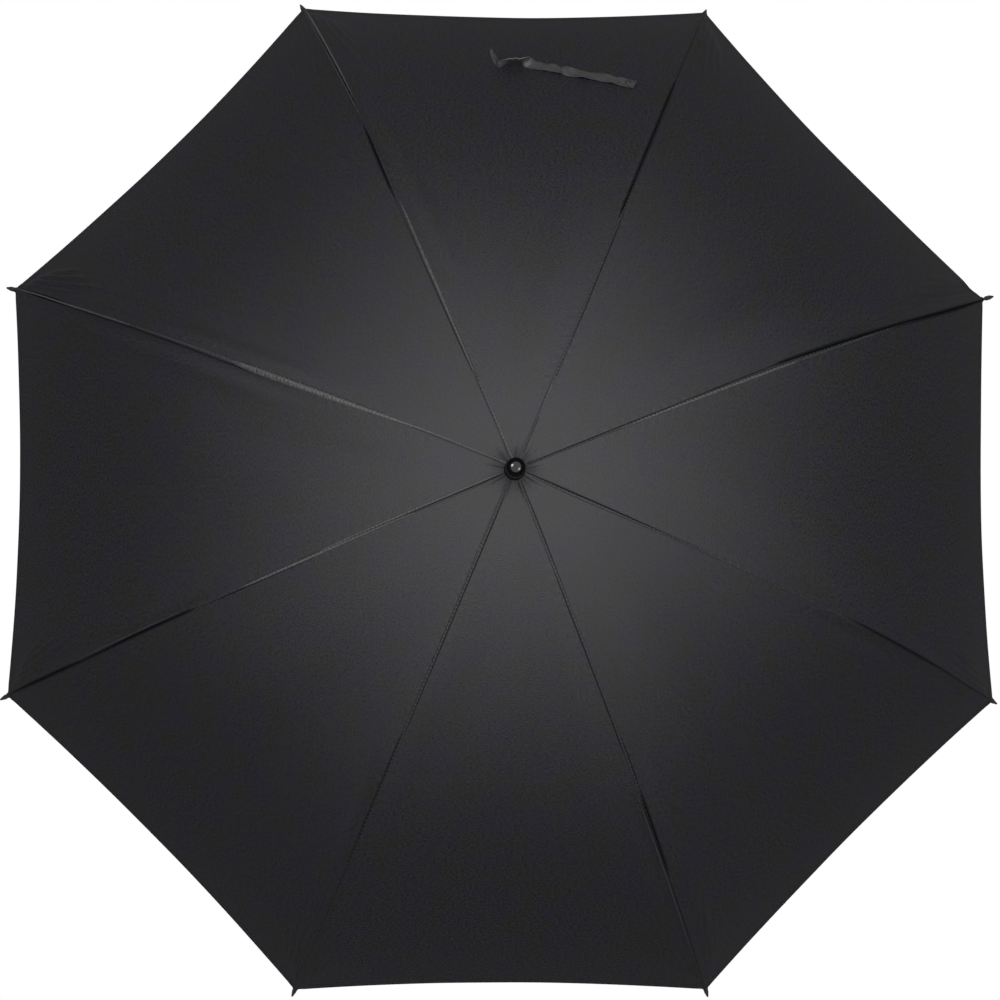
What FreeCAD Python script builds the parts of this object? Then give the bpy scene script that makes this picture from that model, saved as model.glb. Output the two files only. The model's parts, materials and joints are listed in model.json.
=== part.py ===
import FreeCAD, Part
import math
import os

# Golf umbrella, drawn open.  Millimetres.  +Z runs up the shaft, the origin is the middle of the hand grip.
# Each rib is drawn once in the plane Y = 0, with X pointing away from the shaft, and turned to its place.

# frame layout
RIB_COUNT = 8
FIRST_RIB_ANGLE = 22.5
RIB_STEP = 360.0 / RIB_COUNT
CROWN_Z = 880.0            # height of the wire ring that the ribs turn on
PIVOT_R = 12.0             # radius of both wire rings, in the crown and in the runner
INNER_CHORD = 370.0        # crown pivot to stretcher pivot, and also the stretcher's length
OUTER_CHORD = 377.0        # stretcher pivot to rib tip
OPEN_ANGLE = 73.0          # inner rib chord against the shaft, open
OUTER_CHORD_SLOPE = 41.0   # outer rib chord below the horizontal, open
JOINT_SLOPE = 28.0         # rib slope at the stretcher joint
PIN_DROP = 6.0             # stretcher pin below the rib's centre line

# rods and their fittings
ROD_D = 3.6
STRETCHER_D = 3.4
SLEEVE_D = 5.6
EYE_D = 6.0
EYE_WIDTH = 3.0
EYE_HOLE_D = 2.0
WIRE_D = 1.6
TONGUE_HEIGHT = 4.4
TONGUE_END = 9.0
SLEEVE_END = 22.0
PIN_D = 2.0
PIN_HEAD_D = 4.0
PIN_CLEARANCE = 0.08
ROD_GAP = 2.0              # each rod stops this far short of the stretcher joint
TIP_CAP_D = 5.4
TIP_CAP_LENGTH = 24.0
TIP_NOSE_D = 2.2
TIP_NOSE_LENGTH = 13.0     # tapered end of the cap

# stretcher joint, measured along the rib from the pin: bracket, knuckle and fork share one pin
BRACKET_START = -18.0
BRACKET_END = -3.0
SPINE_END = -4.5
SPINE_BOTTOM = 2.4
CHEEK_START = -12.0
CHEEK_GAP = 4.0            # between the bracket's two cheeks
CHEEK_THICKNESS = 1.0
CHEEK_EYE_R = 3.2
PIN_LENGTH = 9.0
PIN_HEAD = 0.8
PIN_HEAD_GAP = 8.8         # between the pin's two heads
KNUCKLE_WIDTH = 3.2
KNUCKLE_START = 3.5
KNUCKLE_END = 18.0
KNUCKLE_EYE_D = 6.0
TONGUE_TOP = 8.4
FORK_GAP = 6.6             # between the fork's two arms
FORK_ARM = 0.8
FORK_ARM_HALF_HEIGHT = 2.0
FORK_EYE_R = 3.0
FORK_BRIDGE_START = 7.5
FORK_BRIDGE_END = 11.0
FORK_END = 24.0

# shaft, crown, runner
SHAFT_D = 14.0
SHAFT_BORE_D = 12.9
SHAFT_BOTTOM_Z = -60.0
SHAFT_TOP_Z = 911.0
HUB_R = 12.6
HUB_HALF_HEIGHT = 3.5
SLOT_WIDTH = 3.6
SLOT_BOTTOM_R = 8.6
CROWN_NECK_R = 9.0
CROWN_NECK_LENGTH = 10.0
CROWN_PIN_DROP = 9.0
CROSS_PIN_D = 2.0
RUNNER_BORE_D = 14.6
RUNNER_SLEEVE_D = 19.0
RUNNER_FOOT_D = 23.0
RUNNER_LENGTH = 42.0       # below the wire ring
RUNNER_FOOT_HEIGHT = 6.0
WINDOW_WIDTH = 4.0
WINDOW_TOP = 20.0
WINDOW_BOTTOM = 32.0
STOP_PIN_LENGTH = 17.0

# spring catches in the shaft
CLOSED_ANGLE = 2.0
CATCH_THICKNESS = 1.6
CATCH_REACH = 22.0
CATCH_PIVOT_X = 3.5
CATCH_NOSE_X = 9.8
CATCH_PIN_D = 1.5
CATCH_SLOT_WIDTH = 2.4
CATCH_GAP = 0.5
CATCH_EYE_D = 4.0
CATCH_NOSE_HEIGHT = 3.0
CATCH_PIN_LENGTH = 12.0
BLADE_BACK = 1.6           # blade's back edge behind the pivot
BLADE_NECK = 0.9           # blade's back edge at the nose, ahead of the pivot
BLADE_FRONT = 1.9          # blade's front edge at the pivot

# canopy
FABRIC = 0.5
FABRIC_LIFT = 3.2          # fabric above the rib's centre line
FABRIC_HOLE_R = 8.0
FABRIC_TOP_Z = 886.2
FABRIC_FLAT_R = 70.0       # inside this radius the fabric runs straight up to the crown
CORNER_RADIUS = 640.0      # fabric corner, short of the rib tip
HEM_BOW = 13.0
GORE_GAP = 0.2
CURVE_POINTS = 7

# ferrule and washer
WASHER_R = 15.0
WASHER_Z = 883.8
WASHER_THICKNESS = 0.8
FERRULE_Z = 887.2
FERRULE_LENGTH = 34.0
FERRULE_BASE_R = 12.0
FERRULE_TOP_R = 10.8
FERRULE_TIP_R = 6.0
FERRULE_TIP_DEPTH = 8.0
FERRULE_DOME = 2.6

# handle
GRIP_R = 16.0
GRIP_HALF = 75.0
GRIP_STRAIGHT_HALF = 55.0
GRIP_END_R = 13.5
COLLAR_HEIGHT = 10.0
END_CAP_HEIGHT = 8.0
END_CAP_R = 13.5

# tie strap, sewn to the panel between the second and the third rib
STRAP_RIB = 2
STRAP_WIDTH = 13.0
STRAP_THICKNESS = 1.0
STRAP_LIFT = 1.0
STRAP_START = (2.0, 511.0)
STRAP_END = (149.0, 471.5)
STUD_D = 9.0
STUD_HEIGHT = 1.6
STUD_INSET = 12.0

AXIS_X = FreeCAD.Vector(1, 0, 0)
AXIS_Y = FreeCAD.Vector(0, 1, 0)
AXIS_Z = FreeCAD.Vector(0, 0, 1)
ORIGIN = FreeCAD.Vector(0, 0, 0)


def sin(degrees):
    return math.sin(math.radians(degrees))


def cos(degrees):
    return math.cos(math.radians(degrees))


# ---------------------------------------------------------------- plane geometry of one rib

class Arc:
    """A circular stretch of rib in the plane (x, z), followed by its slope below the horizontal."""

    def __init__(self, start, end, start_slope=None, end_slope=None):
        chord = math.hypot(end[0] - start[0], end[1] - start[1])
        chord_slope = math.degrees(math.atan2(start[1] - end[1], end[0] - start[0]))
        if start_slope is None:
            start_slope = 2 * chord_slope - end_slope
        self.start_slope = start_slope
        self.end_slope = 2 * chord_slope - start_slope
        self.radius = chord / (2 * sin((self.end_slope - self.start_slope) / 2))
        self.x = start[0] - self.radius * sin(start_slope)
        self.z = start[1] - self.radius * cos(start_slope)

    def point(self, slope, lift=0.0):
        reach = self.radius + lift
        return FreeCAD.Vector(self.x + reach * sin(slope), 0, self.z + reach * cos(slope))

    def height(self, x, lift):
        reach = self.radius + lift
        return self.z + math.sqrt(reach ** 2 - (x - self.x) ** 2)

    def slope_after(self, length):
        return self.start_slope + math.degrees(length / self.radius)

    def slope_before(self, length):
        return self.end_slope - math.degrees(length / self.radius)

    def rod(self, start_slope, end_slope, diameter):
        """A round rod along the arc between two slopes."""
        heading = FreeCAD.Vector(cos(start_slope), 0, -sin(start_slope))
        circle = Part.Circle(self.point(start_slope), heading, diameter / 2)
        face = Part.Face(Part.Wire(circle.toShape()))
        centre = FreeCAD.Vector(self.x, 0, self.z)
        return face.revolve(centre, AXIS_Y, end_slope - start_slope)


CROWN = (PIVOT_R, CROWN_Z)
JOINT = (PIVOT_R + INNER_CHORD * sin(OPEN_ANGLE), CROWN_Z - INNER_CHORD * cos(OPEN_ANGLE))
RUNNER = (PIVOT_R, CROWN_Z - 2 * INNER_CHORD * cos(OPEN_ANGLE))
TIP = (
    JOINT[0] + OUTER_CHORD * cos(OUTER_CHORD_SLOPE),
    JOINT[1] - OUTER_CHORD * sin(OUTER_CHORD_SLOPE),
)
RIB_AT_JOINT = (JOINT[0] + PIN_DROP * sin(JOINT_SLOPE), JOINT[1] + PIN_DROP * cos(JOINT_SLOPE))
INNER = Arc(CROWN, RIB_AT_JOINT, end_slope=JOINT_SLOPE)
OUTER = Arc(RIB_AT_JOINT, TIP, start_slope=JOINT_SLOPE)
STRETCHER_RISE = 90.0 - OPEN_ANGLE
SPLIT_R = RIB_AT_JOINT[0] + FABRIC_LIFT * sin(JOINT_SLOPE)
CLOSED_RUNNER_Z = CROWN_Z - 2 * INNER_CHORD * cos(CLOSED_ANGLE)


def place(shape, at, slope):
    """Turns a fitting drawn along +X at the origin to a slope and moves it to a point of the plane."""
    moved = shape.copy()
    moved.rotate(ORIGIN, AXIS_Y, slope)
    moved.translate(FreeCAD.Vector(at[0], 0, at[1]))
    return moved


def unplace(shape, at, slope):
    """Moves a solid of the plane into a fitting's own axes."""
    moved = shape.copy()
    moved.translate(FreeCAD.Vector(-at[0], 0, -at[1]))
    moved.rotate(ORIGIN, AXIS_Y, -slope)
    return moved


# ---------------------------------------------------------------- small solids

def disc(diameter, width, x=0.0, z=0.0):
    """A cylinder across the rib's plane, centred on it."""
    return Part.makeCylinder(diameter / 2, width, FreeCAD.Vector(x, -width / 2, z), AXIS_Y)


def bar(diameter, x_start, x_end, z=0.0):
    return Part.makeCylinder(diameter / 2, x_end - x_start, FreeCAD.Vector(x_start, 0, z), AXIS_X)


def block(x_start, x_end, width, z_low, z_high):
    corner = FreeCAD.Vector(x_start, -width / 2, z_low)
    return Part.makeBox(x_end - x_start, width, z_high - z_low, corner)


def plate(points, y_low, y_high):
    corners = [FreeCAD.Vector(x, y_low, z) for x, z in points]
    outline = Part.makePolygon(corners + corners[:1])
    return Part.Face(outline).extrude(FreeCAD.Vector(0, y_high - y_low, 0))


def ring(outer_r, inner_r, z_low, z_high):
    outer = Part.makeCylinder(outer_r, z_high - z_low, FreeCAD.Vector(0, 0, z_low))
    return outer.cut(Part.makeCylinder(inner_r, z_high - z_low, FreeCAD.Vector(0, 0, z_low)))


def turned(points):
    """A solid of revolution about the shaft from an outline of (radius, height)."""
    corners = [FreeCAD.Vector(r, 0, z) for r, z in points]
    face = Part.Face(Part.makePolygon(corners + corners[:1]))
    return face.revolve(ORIGIN, AXIS_Z, 360)


# ---------------------------------------------------------------- ribs and stretchers

def eye_fitting(rod):
    """The rod's end fitting that turns on a wire ring: an eye, a thin tongue and a sleeve."""
    fitting = disc(EYE_D, EYE_WIDTH)
    fitting = fitting.fuse(block(0, TONGUE_END, EYE_WIDTH, -TONGUE_HEIGHT / 2, TONGUE_HEIGHT / 2))
    fitting = fitting.fuse(bar(SLEEVE_D, TONGUE_END - 1, SLEEVE_END))
    return fitting.cut(disc(EYE_HOLE_D, EYE_D)).cut(rod).removeSplitter()


def joint_bracket(rod):
    """The clip on the inner rib: a sleeve on the rod and two cheeks that hold the pin."""
    width = CHEEK_GAP + 2 * CHEEK_THICKNESS
    shoulder = CHEEK_EYE_R * cos(45)
    ends = [(shoulder, shoulder), (-shoulder, -shoulder)]
    outline = [(CHEEK_START, 5.5), (-3.5, 6.5)] + ends + [(CHEEK_START, 3)]
    clip = bar(SLEEVE_D, BRACKET_START, BRACKET_END, PIN_DROP)
    clip = clip.fuse(block(CHEEK_START, SPINE_END, width, SPINE_BOTTOM, PIN_DROP))
    for low in (-width / 2, CHEEK_GAP / 2):
        cheek = plate(outline, low, low + CHEEK_THICKNESS)
        eye = Part.makeCylinder(CHEEK_EYE_R, CHEEK_THICKNESS, FreeCAD.Vector(0, low, 0), AXIS_Y)
        clip = clip.fuse(cheek).fuse(eye)
    return clip.cut(disc(PIN_D, PIN_LENGTH)).cut(rod).removeSplitter()


def joint_pin():
    pin = disc(PIN_D, PIN_LENGTH)
    for low in (-PIN_HEAD_GAP / 2 - PIN_HEAD, PIN_HEAD_GAP / 2):
        pin = pin.fuse(Part.makeCylinder(PIN_HEAD_D / 2, PIN_HEAD, FreeCAD.Vector(0, low, 0), AXIS_Y))
    return pin.removeSplitter()


def joint_knuckle(rod):
    """The clip on the outer rib: a sleeve on the rod and a tongue between the cheeks."""
    outline = [(-0.5, 2.9), (KNUCKLE_START, 8), (12, TONGUE_TOP), (12, 4), (2.6, -1.5)]
    tongue = plate(outline, -KNUCKLE_WIDTH / 2, KNUCKLE_WIDTH / 2)
    clip = bar(SLEEVE_D, KNUCKLE_START, KNUCKLE_END, PIN_DROP).fuse(tongue)
    clip = clip.fuse(disc(KNUCKLE_EYE_D, KNUCKLE_WIDTH))
    return clip.cut(disc(PIN_D + 2 * PIN_CLEARANCE, PIN_LENGTH)).cut(rod).removeSplitter()


def fork_fitting(rod):
    """The stretcher's upper end, straddling the bracket on the same pin."""
    width = FORK_GAP + 2 * FORK_ARM
    height = FORK_ARM_HALF_HEIGHT
    fork = block(FORK_BRIDGE_START, FORK_BRIDGE_END, width, -height, height)
    fork = fork.fuse(bar(SLEEVE_D, FORK_BRIDGE_END - 1, FORK_END))
    for low in (-width / 2, FORK_GAP / 2):
        arm = plate([(0, -height), (9, -height), (9, height), (0, height)], low, low + FORK_ARM)
        eye = Part.makeCylinder(FORK_EYE_R, FORK_ARM, FreeCAD.Vector(0, low, 0), AXIS_Y)
        fork = fork.fuse(arm).fuse(eye)
    return fork.cut(disc(PIN_D + 2 * PIN_CLEARANCE, 2 * width)).cut(rod).removeSplitter()


def tip_cap(rod):
    """The moulded cap with a slim tapered nose that the canopy's corner is sewn to."""
    nose_r = TIP_NOSE_D / 2
    start = FreeCAD.Vector(-TIP_NOSE_LENGTH, 0, 0)
    cap = bar(TIP_CAP_D, -TIP_CAP_LENGTH, -TIP_NOSE_LENGTH)
    cap = cap.fuse(Part.makeCone(TIP_CAP_D / 2, nose_r, TIP_NOSE_LENGTH - nose_r, start, AXIS_X))
    cap = cap.fuse(Part.makeSphere(nose_r, FreeCAD.Vector(-nose_r, 0, 0)))
    return cap.cut(rod).removeSplitter()


def inner_rib():
    rod = INNER.rod(INNER.slope_after(TONGUE_END), INNER.slope_before(ROD_GAP), ROD_D)
    eye = eye_fitting(unplace(rod, CROWN, INNER.start_slope))
    bracket = joint_bracket(unplace(rod, JOINT, JOINT_SLOPE))
    return [
        rod,
        place(eye, CROWN, INNER.start_slope),
        place(bracket, JOINT, JOINT_SLOPE),
        place(joint_pin(), JOINT, JOINT_SLOPE),
    ]


def outer_rib():
    rod = OUTER.rod(OUTER.slope_after(ROD_GAP), OUTER.slope_before(TIP_NOSE_LENGTH), ROD_D)
    knuckle = joint_knuckle(unplace(rod, JOINT, JOINT_SLOPE))
    cap = tip_cap(unplace(rod, TIP, OUTER.end_slope))
    return [rod, place(knuckle, JOINT, JOINT_SLOPE), place(cap, TIP, OUTER.end_slope)]


def stretcher():
    """Drawn from the runner outwards, then turned up to the stretcher joint."""
    rod = bar(STRETCHER_D, TONGUE_END, INNER_CHORD - FORK_BRIDGE_END)
    fork = fork_fitting(bar(STRETCHER_D, FORK_BRIDGE_END, INNER_CHORD - TONGUE_END))
    fork.rotate(ORIGIN, AXIS_Z, 180)
    fork.translate(FreeCAD.Vector(INNER_CHORD, 0, 0))
    return [place(piece, RUNNER, -STRETCHER_RISE) for piece in (rod, eye_fitting(rod), fork)]


# ---------------------------------------------------------------- canopy

def fabric_height(rho):
    """Height of the fabric's underside over a rib at distance rho from the shaft."""
    if rho < FABRIC_FLAT_R:
        edge = INNER.height(FABRIC_FLAT_R, FABRIC_LIFT)
        share = (rho - FABRIC_HOLE_R) / (FABRIC_FLAT_R - FABRIC_HOLE_R)
        return FABRIC_TOP_Z + share * (edge - FABRIC_TOP_Z)
    if rho < SPLIT_R:
        return INNER.height(rho, FABRIC_LIFT)
    return OUTER.height(rho, FABRIC_LIFT)


def spline(points):
    curve = Part.BSplineCurve()
    curve.interpolate(points)
    return curve.toShape()


def half_gore(rho_start, rho_end, rho_end_middle, side):
    """Half a panel, from its rib to the middle of the panel: straight threads between two curves."""
    half = RIB_STEP / 2
    on_rib, on_middle = [], []
    for k in range(CURVE_POINTS):
        share = k / (CURVE_POINTS - 1)
        rho = rho_start + share * (rho_end - rho_start)
        on_rib.append(FreeCAD.Vector(rho, 0, fabric_height(rho)))
        rho = rho_start + share * (rho_end_middle - rho_start)
        reach = rho * cos(half)
        across = reach * sin(half) - GORE_GAP
        on_middle.append(FreeCAD.Vector(reach * cos(half), side * across, fabric_height(rho)))
    face = Part.makeRuledSurface(spline(on_rib), spline(on_middle))
    return face.extrude(FreeCAD.Vector(0, 0, FABRIC))


def canopy_inner():
    return [half_gore(FABRIC_HOLE_R, SPLIT_R - GORE_GAP, SPLIT_R - GORE_GAP, side) for side in (-1, 1)]


def canopy_outer():
    start = SPLIT_R + GORE_GAP
    return [half_gore(start, CORNER_RADIUS, CORNER_RADIUS - HEM_BOW, side) for side in (-1, 1)]


def surface_point(x, y, lift):
    """A point over the strap's half panel, given in the whole umbrella's axes."""
    turn = FIRST_RIB_ANGLE + RIB_STEP * (STRAP_RIB - 1)
    along = x * cos(turn) + y * sin(turn)
    across = abs(y * cos(turn) - x * sin(turn))
    rho = along + across * math.tan(math.radians(RIB_STEP / 2))
    return FreeCAD.Vector(x, y, fabric_height(rho) + FABRIC + lift)


def strap_point(share, offset, lift):
    """A point of the strap: share along its length, offset across it."""
    run_x = STRAP_END[0] - STRAP_START[0]
    run_y = STRAP_END[1] - STRAP_START[1]
    length = math.hypot(run_x, run_y)
    x = STRAP_START[0] + share * run_x - offset * run_y / length
    y = STRAP_START[1] + share * run_y + offset * run_x / length
    return surface_point(x, y, lift)


def tie_strap():
    shares = [k / (CURVE_POINTS - 1) for k in range(CURVE_POINTS)]
    edges = [
        spline([strap_point(share, offset, STRAP_LIFT) for share in shares])
        for offset in (-STRAP_WIDTH / 2, STRAP_WIDTH / 2)
    ]
    face = Part.makeRuledSurface(*edges)
    return [face.extrude(FreeCAD.Vector(0, 0, STRAP_THICKNESS))]


def strap_stud():
    length = math.hypot(STRAP_END[0] - STRAP_START[0], STRAP_END[1] - STRAP_START[1])
    share = 1 - STUD_INSET / length
    centre = strap_point(share, 0, STRAP_LIFT + STRAP_THICKNESS)
    ahead = strap_point(share + 0.02, 0, STRAP_LIFT + STRAP_THICKNESS) - centre
    aside = strap_point(share, 2.0, STRAP_LIFT + STRAP_THICKNESS) - centre
    normal = ahead.cross(aside).normalize()
    return [Part.makeCylinder(STUD_D / 2, STUD_HEIGHT, centre + normal * 0.3, normal)]


# ---------------------------------------------------------------- crown and runner

def wire_ring(z):
    return Part.makeTorus(PIVOT_R, WIRE_D / 2, FreeCAD.Vector(0, 0, z))


def slotted(hub, z):
    """Cuts one slot for each rib eye, and the groove that the wire ring lies in."""
    for k in range(RIB_COUNT):
        slot = block(SLOT_BOTTOM_R, HUB_R + 5, SLOT_WIDTH, z - 2 * HUB_HALF_HEIGHT, z + 2 * HUB_HALF_HEIGHT)
        slot.rotate(ORIGIN, AXIS_Z, FIRST_RIB_ANGLE + RIB_STEP * k)
        hub = hub.cut(slot)
    return hub.cut(wire_ring(z))


def cross_pin(z, length, diameter, x=0.0):
    return Part.makeCylinder(diameter / 2, length, FreeCAD.Vector(x, -length / 2, z), AXIS_Y)


def stop_pin():
    z = RUNNER[1] + HUB_HALF_HEIGHT + CATCH_GAP + CROSS_PIN_D / 2
    start = FreeCAD.Vector(-STOP_PIN_LENGTH / 2, 0, z)
    return Part.makeCylinder(CROSS_PIN_D / 2, STOP_PIN_LENGTH, start, AXIS_X)


def crown_pin():
    return cross_pin(CROWN_Z - CROWN_PIN_DROP, 2 * CROWN_NECK_R, CROSS_PIN_D)


def crown_notch():
    hub = ring(HUB_R, SHAFT_D / 2, CROWN_Z - HUB_HALF_HEIGHT, CROWN_Z + HUB_HALF_HEIGHT)
    neck_bottom = CROWN_Z - HUB_HALF_HEIGHT - CROWN_NECK_LENGTH
    neck = ring(CROWN_NECK_R, SHAFT_D / 2, neck_bottom, CROWN_Z - HUB_HALF_HEIGHT)
    return slotted(hub.fuse(neck).removeSplitter(), CROWN_Z).cut(crown_pin())


def runner_body():
    z = RUNNER[1]
    bore = RUNNER_BORE_D / 2
    foot_top = z - RUNNER_LENGTH + RUNNER_FOOT_HEIGHT
    body = turned([
        (bore, z - RUNNER_LENGTH),
        (RUNNER_FOOT_D / 2 - 1, z - RUNNER_LENGTH),
        (RUNNER_FOOT_D / 2, z - RUNNER_LENGTH + 1),
        (RUNNER_FOOT_D / 2, foot_top - 1),
        (RUNNER_SLEEVE_D / 2, foot_top + 2),
        (RUNNER_SLEEVE_D / 2, z - HUB_HALF_HEIGHT - 3),
        (HUB_R, z - HUB_HALF_HEIGHT),
        (HUB_R, z + HUB_HALF_HEIGHT),
        (bore, z + HUB_HALF_HEIGHT),
    ])
    window = block(0, RUNNER_FOOT_D, WINDOW_WIDTH, z - WINDOW_BOTTOM, z - WINDOW_TOP)
    return slotted(body.cut(window), z)


# ---------------------------------------------------------------- spring catches

def catch(pivot_z, nose_z):
    """A blade that turns on a pin inside the shaft; its square nose holds the runner."""
    way = 1 if nose_z > pivot_z else -1
    blade = plate([
        (CATCH_PIVOT_X - BLADE_BACK, pivot_z),
        (CATCH_PIVOT_X + BLADE_NECK, nose_z),
        (CATCH_NOSE_X, nose_z),
        (CATCH_NOSE_X, nose_z - way * CATCH_NOSE_HEIGHT),
        (CATCH_PIVOT_X + BLADE_FRONT, pivot_z),
    ], -CATCH_THICKNESS / 2, CATCH_THICKNESS / 2)
    eye = disc(CATCH_EYE_D, CATCH_THICKNESS, CATCH_PIVOT_X, pivot_z)
    hole = disc(CATCH_PIN_D + 2 * PIN_CLEARANCE, SHAFT_D, CATCH_PIVOT_X, pivot_z)
    return blade.fuse(eye).cut(hole).removeSplitter()


TOP_NOSE_Z = RUNNER[1] - RUNNER_LENGTH - CATCH_GAP
TOP_PIVOT_Z = TOP_NOSE_Z - CATCH_REACH
BOTTOM_NOSE_Z = CLOSED_RUNNER_Z - WINDOW_BOTTOM + CATCH_GAP
BOTTOM_PIVOT_Z = BOTTOM_NOSE_Z + CATCH_REACH


def catch_pins():
    return [cross_pin(z, CATCH_PIN_LENGTH, CATCH_PIN_D, CATCH_PIVOT_X) for z in (TOP_PIVOT_Z, BOTTOM_PIVOT_Z)]


def shaft_tube():
    tube = ring(SHAFT_D / 2, SHAFT_BORE_D / 2, SHAFT_BOTTOM_Z, SHAFT_TOP_Z)
    for low, high in ((TOP_PIVOT_Z - 3, TOP_NOSE_Z + 1.5), (BOTTOM_NOSE_Z - 1.5, BOTTOM_PIVOT_Z + 3)):
        tube = tube.cut(block(0, SHAFT_D, CATCH_SLOT_WIDTH, low, high))
    for pin in catch_pins() + [crown_pin(), stop_pin()]:
        tube = tube.cut(pin)
    return tube


# ---------------------------------------------------------------- ferrule and handle

def ferrule_cap():
    top = FERRULE_Z + FERRULE_LENGTH
    shaft_r = SHAFT_D / 2
    return turned([
        (shaft_r, FERRULE_Z),
        (FERRULE_BASE_R, FERRULE_Z),
        (FERRULE_BASE_R, FERRULE_Z + 3),
        (FERRULE_BASE_R - 0.6, FERRULE_Z + 4),
        (FERRULE_TOP_R, top - 2.5),
        (FERRULE_TOP_R - 0.9, top - 0.7),
        (FERRULE_TOP_R - 2.4, top),
        (FERRULE_TIP_R, top),
        (FERRULE_TIP_R, top - FERRULE_TIP_DEPTH),
        (shaft_r, top - FERRULE_TIP_DEPTH - 1),
    ])


def ferrule_tip():
    """A metal stud set into the ferrule, with a low domed end."""
    top = FERRULE_Z + FERRULE_LENGTH
    bottom = top - FERRULE_TIP_DEPTH
    corners = [(0, top + FERRULE_DOME), (0, bottom), (FERRULE_TIP_R, bottom), (FERRULE_TIP_R, top)]
    points = [FreeCAD.Vector(r, 0, z) for r, z in corners]
    dome_r = (FERRULE_TIP_R ** 2 + FERRULE_DOME ** 2) / (2 * FERRULE_DOME)
    sink = dome_r - math.sqrt(dome_r ** 2 - (FERRULE_TIP_R / 2) ** 2)
    crest = FreeCAD.Vector(FERRULE_TIP_R / 2, 0, top + FERRULE_DOME - sink)
    edges = [Part.makeLine(a, b) for a, b in zip(points, points[1:])]
    edges.append(Part.Arc(points[3], crest, points[0]).toShape())
    return Part.Face(Part.Wire(edges)).revolve(ORIGIN, AXIS_Z, 360)


def handle_grip():
    shaft_r = SHAFT_D / 2
    return turned([
        (shaft_r, -GRIP_HALF),
        (GRIP_END_R, -GRIP_HALF),
        (GRIP_R, -GRIP_STRAIGHT_HALF),
        (GRIP_R, GRIP_STRAIGHT_HALF),
        (GRIP_END_R, GRIP_HALF),
        (shaft_r, GRIP_HALF),
    ])


def handle_collar():
    shaft_r = SHAFT_D / 2
    return turned([
        (shaft_r, GRIP_HALF),
        (GRIP_END_R - 1, GRIP_HALF),
        (GRIP_END_R - 1, GRIP_HALF + COLLAR_HEIGHT * 0.4),
        (shaft_r + 2, GRIP_HALF + COLLAR_HEIGHT),
        (shaft_r, GRIP_HALF + COLLAR_HEIGHT),
    ])


def handle_end_cap():
    plug_top = SHAFT_BOTTOM_Z
    bottom = -GRIP_HALF - END_CAP_HEIGHT
    return turned([
        (0, bottom),
        (END_CAP_R - 1.5, bottom),
        (END_CAP_R, bottom + 1.5),
        (END_CAP_R, -GRIP_HALF),
        (SHAFT_D / 2, -GRIP_HALF),
        (SHAFT_D / 2, plug_top),
        (0, plug_top),
    ])


# ---------------------------------------------------------------- export

def turned_to_rib(solids, number):
    """Copies of solids turned to the place of rib 1, 2, ... counted from the X axis."""
    copies = [solid.copy() for solid in solids]
    for copy in copies:
        copy.rotate(ORIGIN, AXIS_Z, FIRST_RIB_ANGLE + RIB_STEP * (number - 1))
    return copies


def all_nodes():
    nodes = {
        "shaft_tube": [shaft_tube()],
        "crown_notch": [crown_notch()],
        "crown_wire": [wire_ring(CROWN_Z)],
        "crown_pin": [crown_pin()],
        "crown_washer": [ring(WASHER_R, SHAFT_D / 2, WASHER_Z, WASHER_Z + WASHER_THICKNESS)],
        "ferrule_cap": [ferrule_cap()],
        "ferrule_tip": [ferrule_tip()],
        "runner_stop_pin": [stop_pin()],
        "catch_pins": catch_pins(),
        "handle_grip": [handle_grip()],
        "handle_collar": [handle_collar()],
        "handle_end_cap": [handle_end_cap()],
        "runner_body": [runner_body()],
        "runner_wire": [wire_ring(RUNNER[1])],
        "top_catch": [catch(TOP_PIVOT_Z, TOP_NOSE_Z)],
        "bottom_catch": [catch(BOTTOM_PIVOT_Z, BOTTOM_NOSE_Z)],
        "tie_strap": tie_strap(),
        "strap_stud": strap_stud(),
    }
    families = {
        "inner_rib": inner_rib(),
        "outer_rib": outer_rib(),
        "stretcher": stretcher(),
        "canopy_inner": canopy_inner(),
        "canopy_outer": canopy_outer(),
    }
    for name, solids in families.items():
        for number in range(1, RIB_COUNT + 1):
            nodes[f"{name}_{number}"] = turned_to_rib(solids, number)
    return nodes


def main():
    os.makedirs("parts", exist_ok=True)
    for name, solids in all_nodes().items():
        shape = solids[0] if len(solids) == 1 else Part.makeCompound(solids)
        shape.exportStep(f"parts/{name}.step")
        print(f"{name}: {len(shape.Solids)} solids, {shape.Volume / 1000:.2f} cm3, valid {shape.isValid()}")


main()
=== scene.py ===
"""The look of an open golf umbrella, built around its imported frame.

Lengths are millimetres until a mesh is made, which is in metres.  A rib's own frame has x outwards from
the shaft, y across the rib and z up the shaft.  Ribs are counted from 1, and panel 1 follows rib 1.
"""
import json
import math

import bpy
import numpy as np
from mathutils import Matrix, Vector


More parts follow.
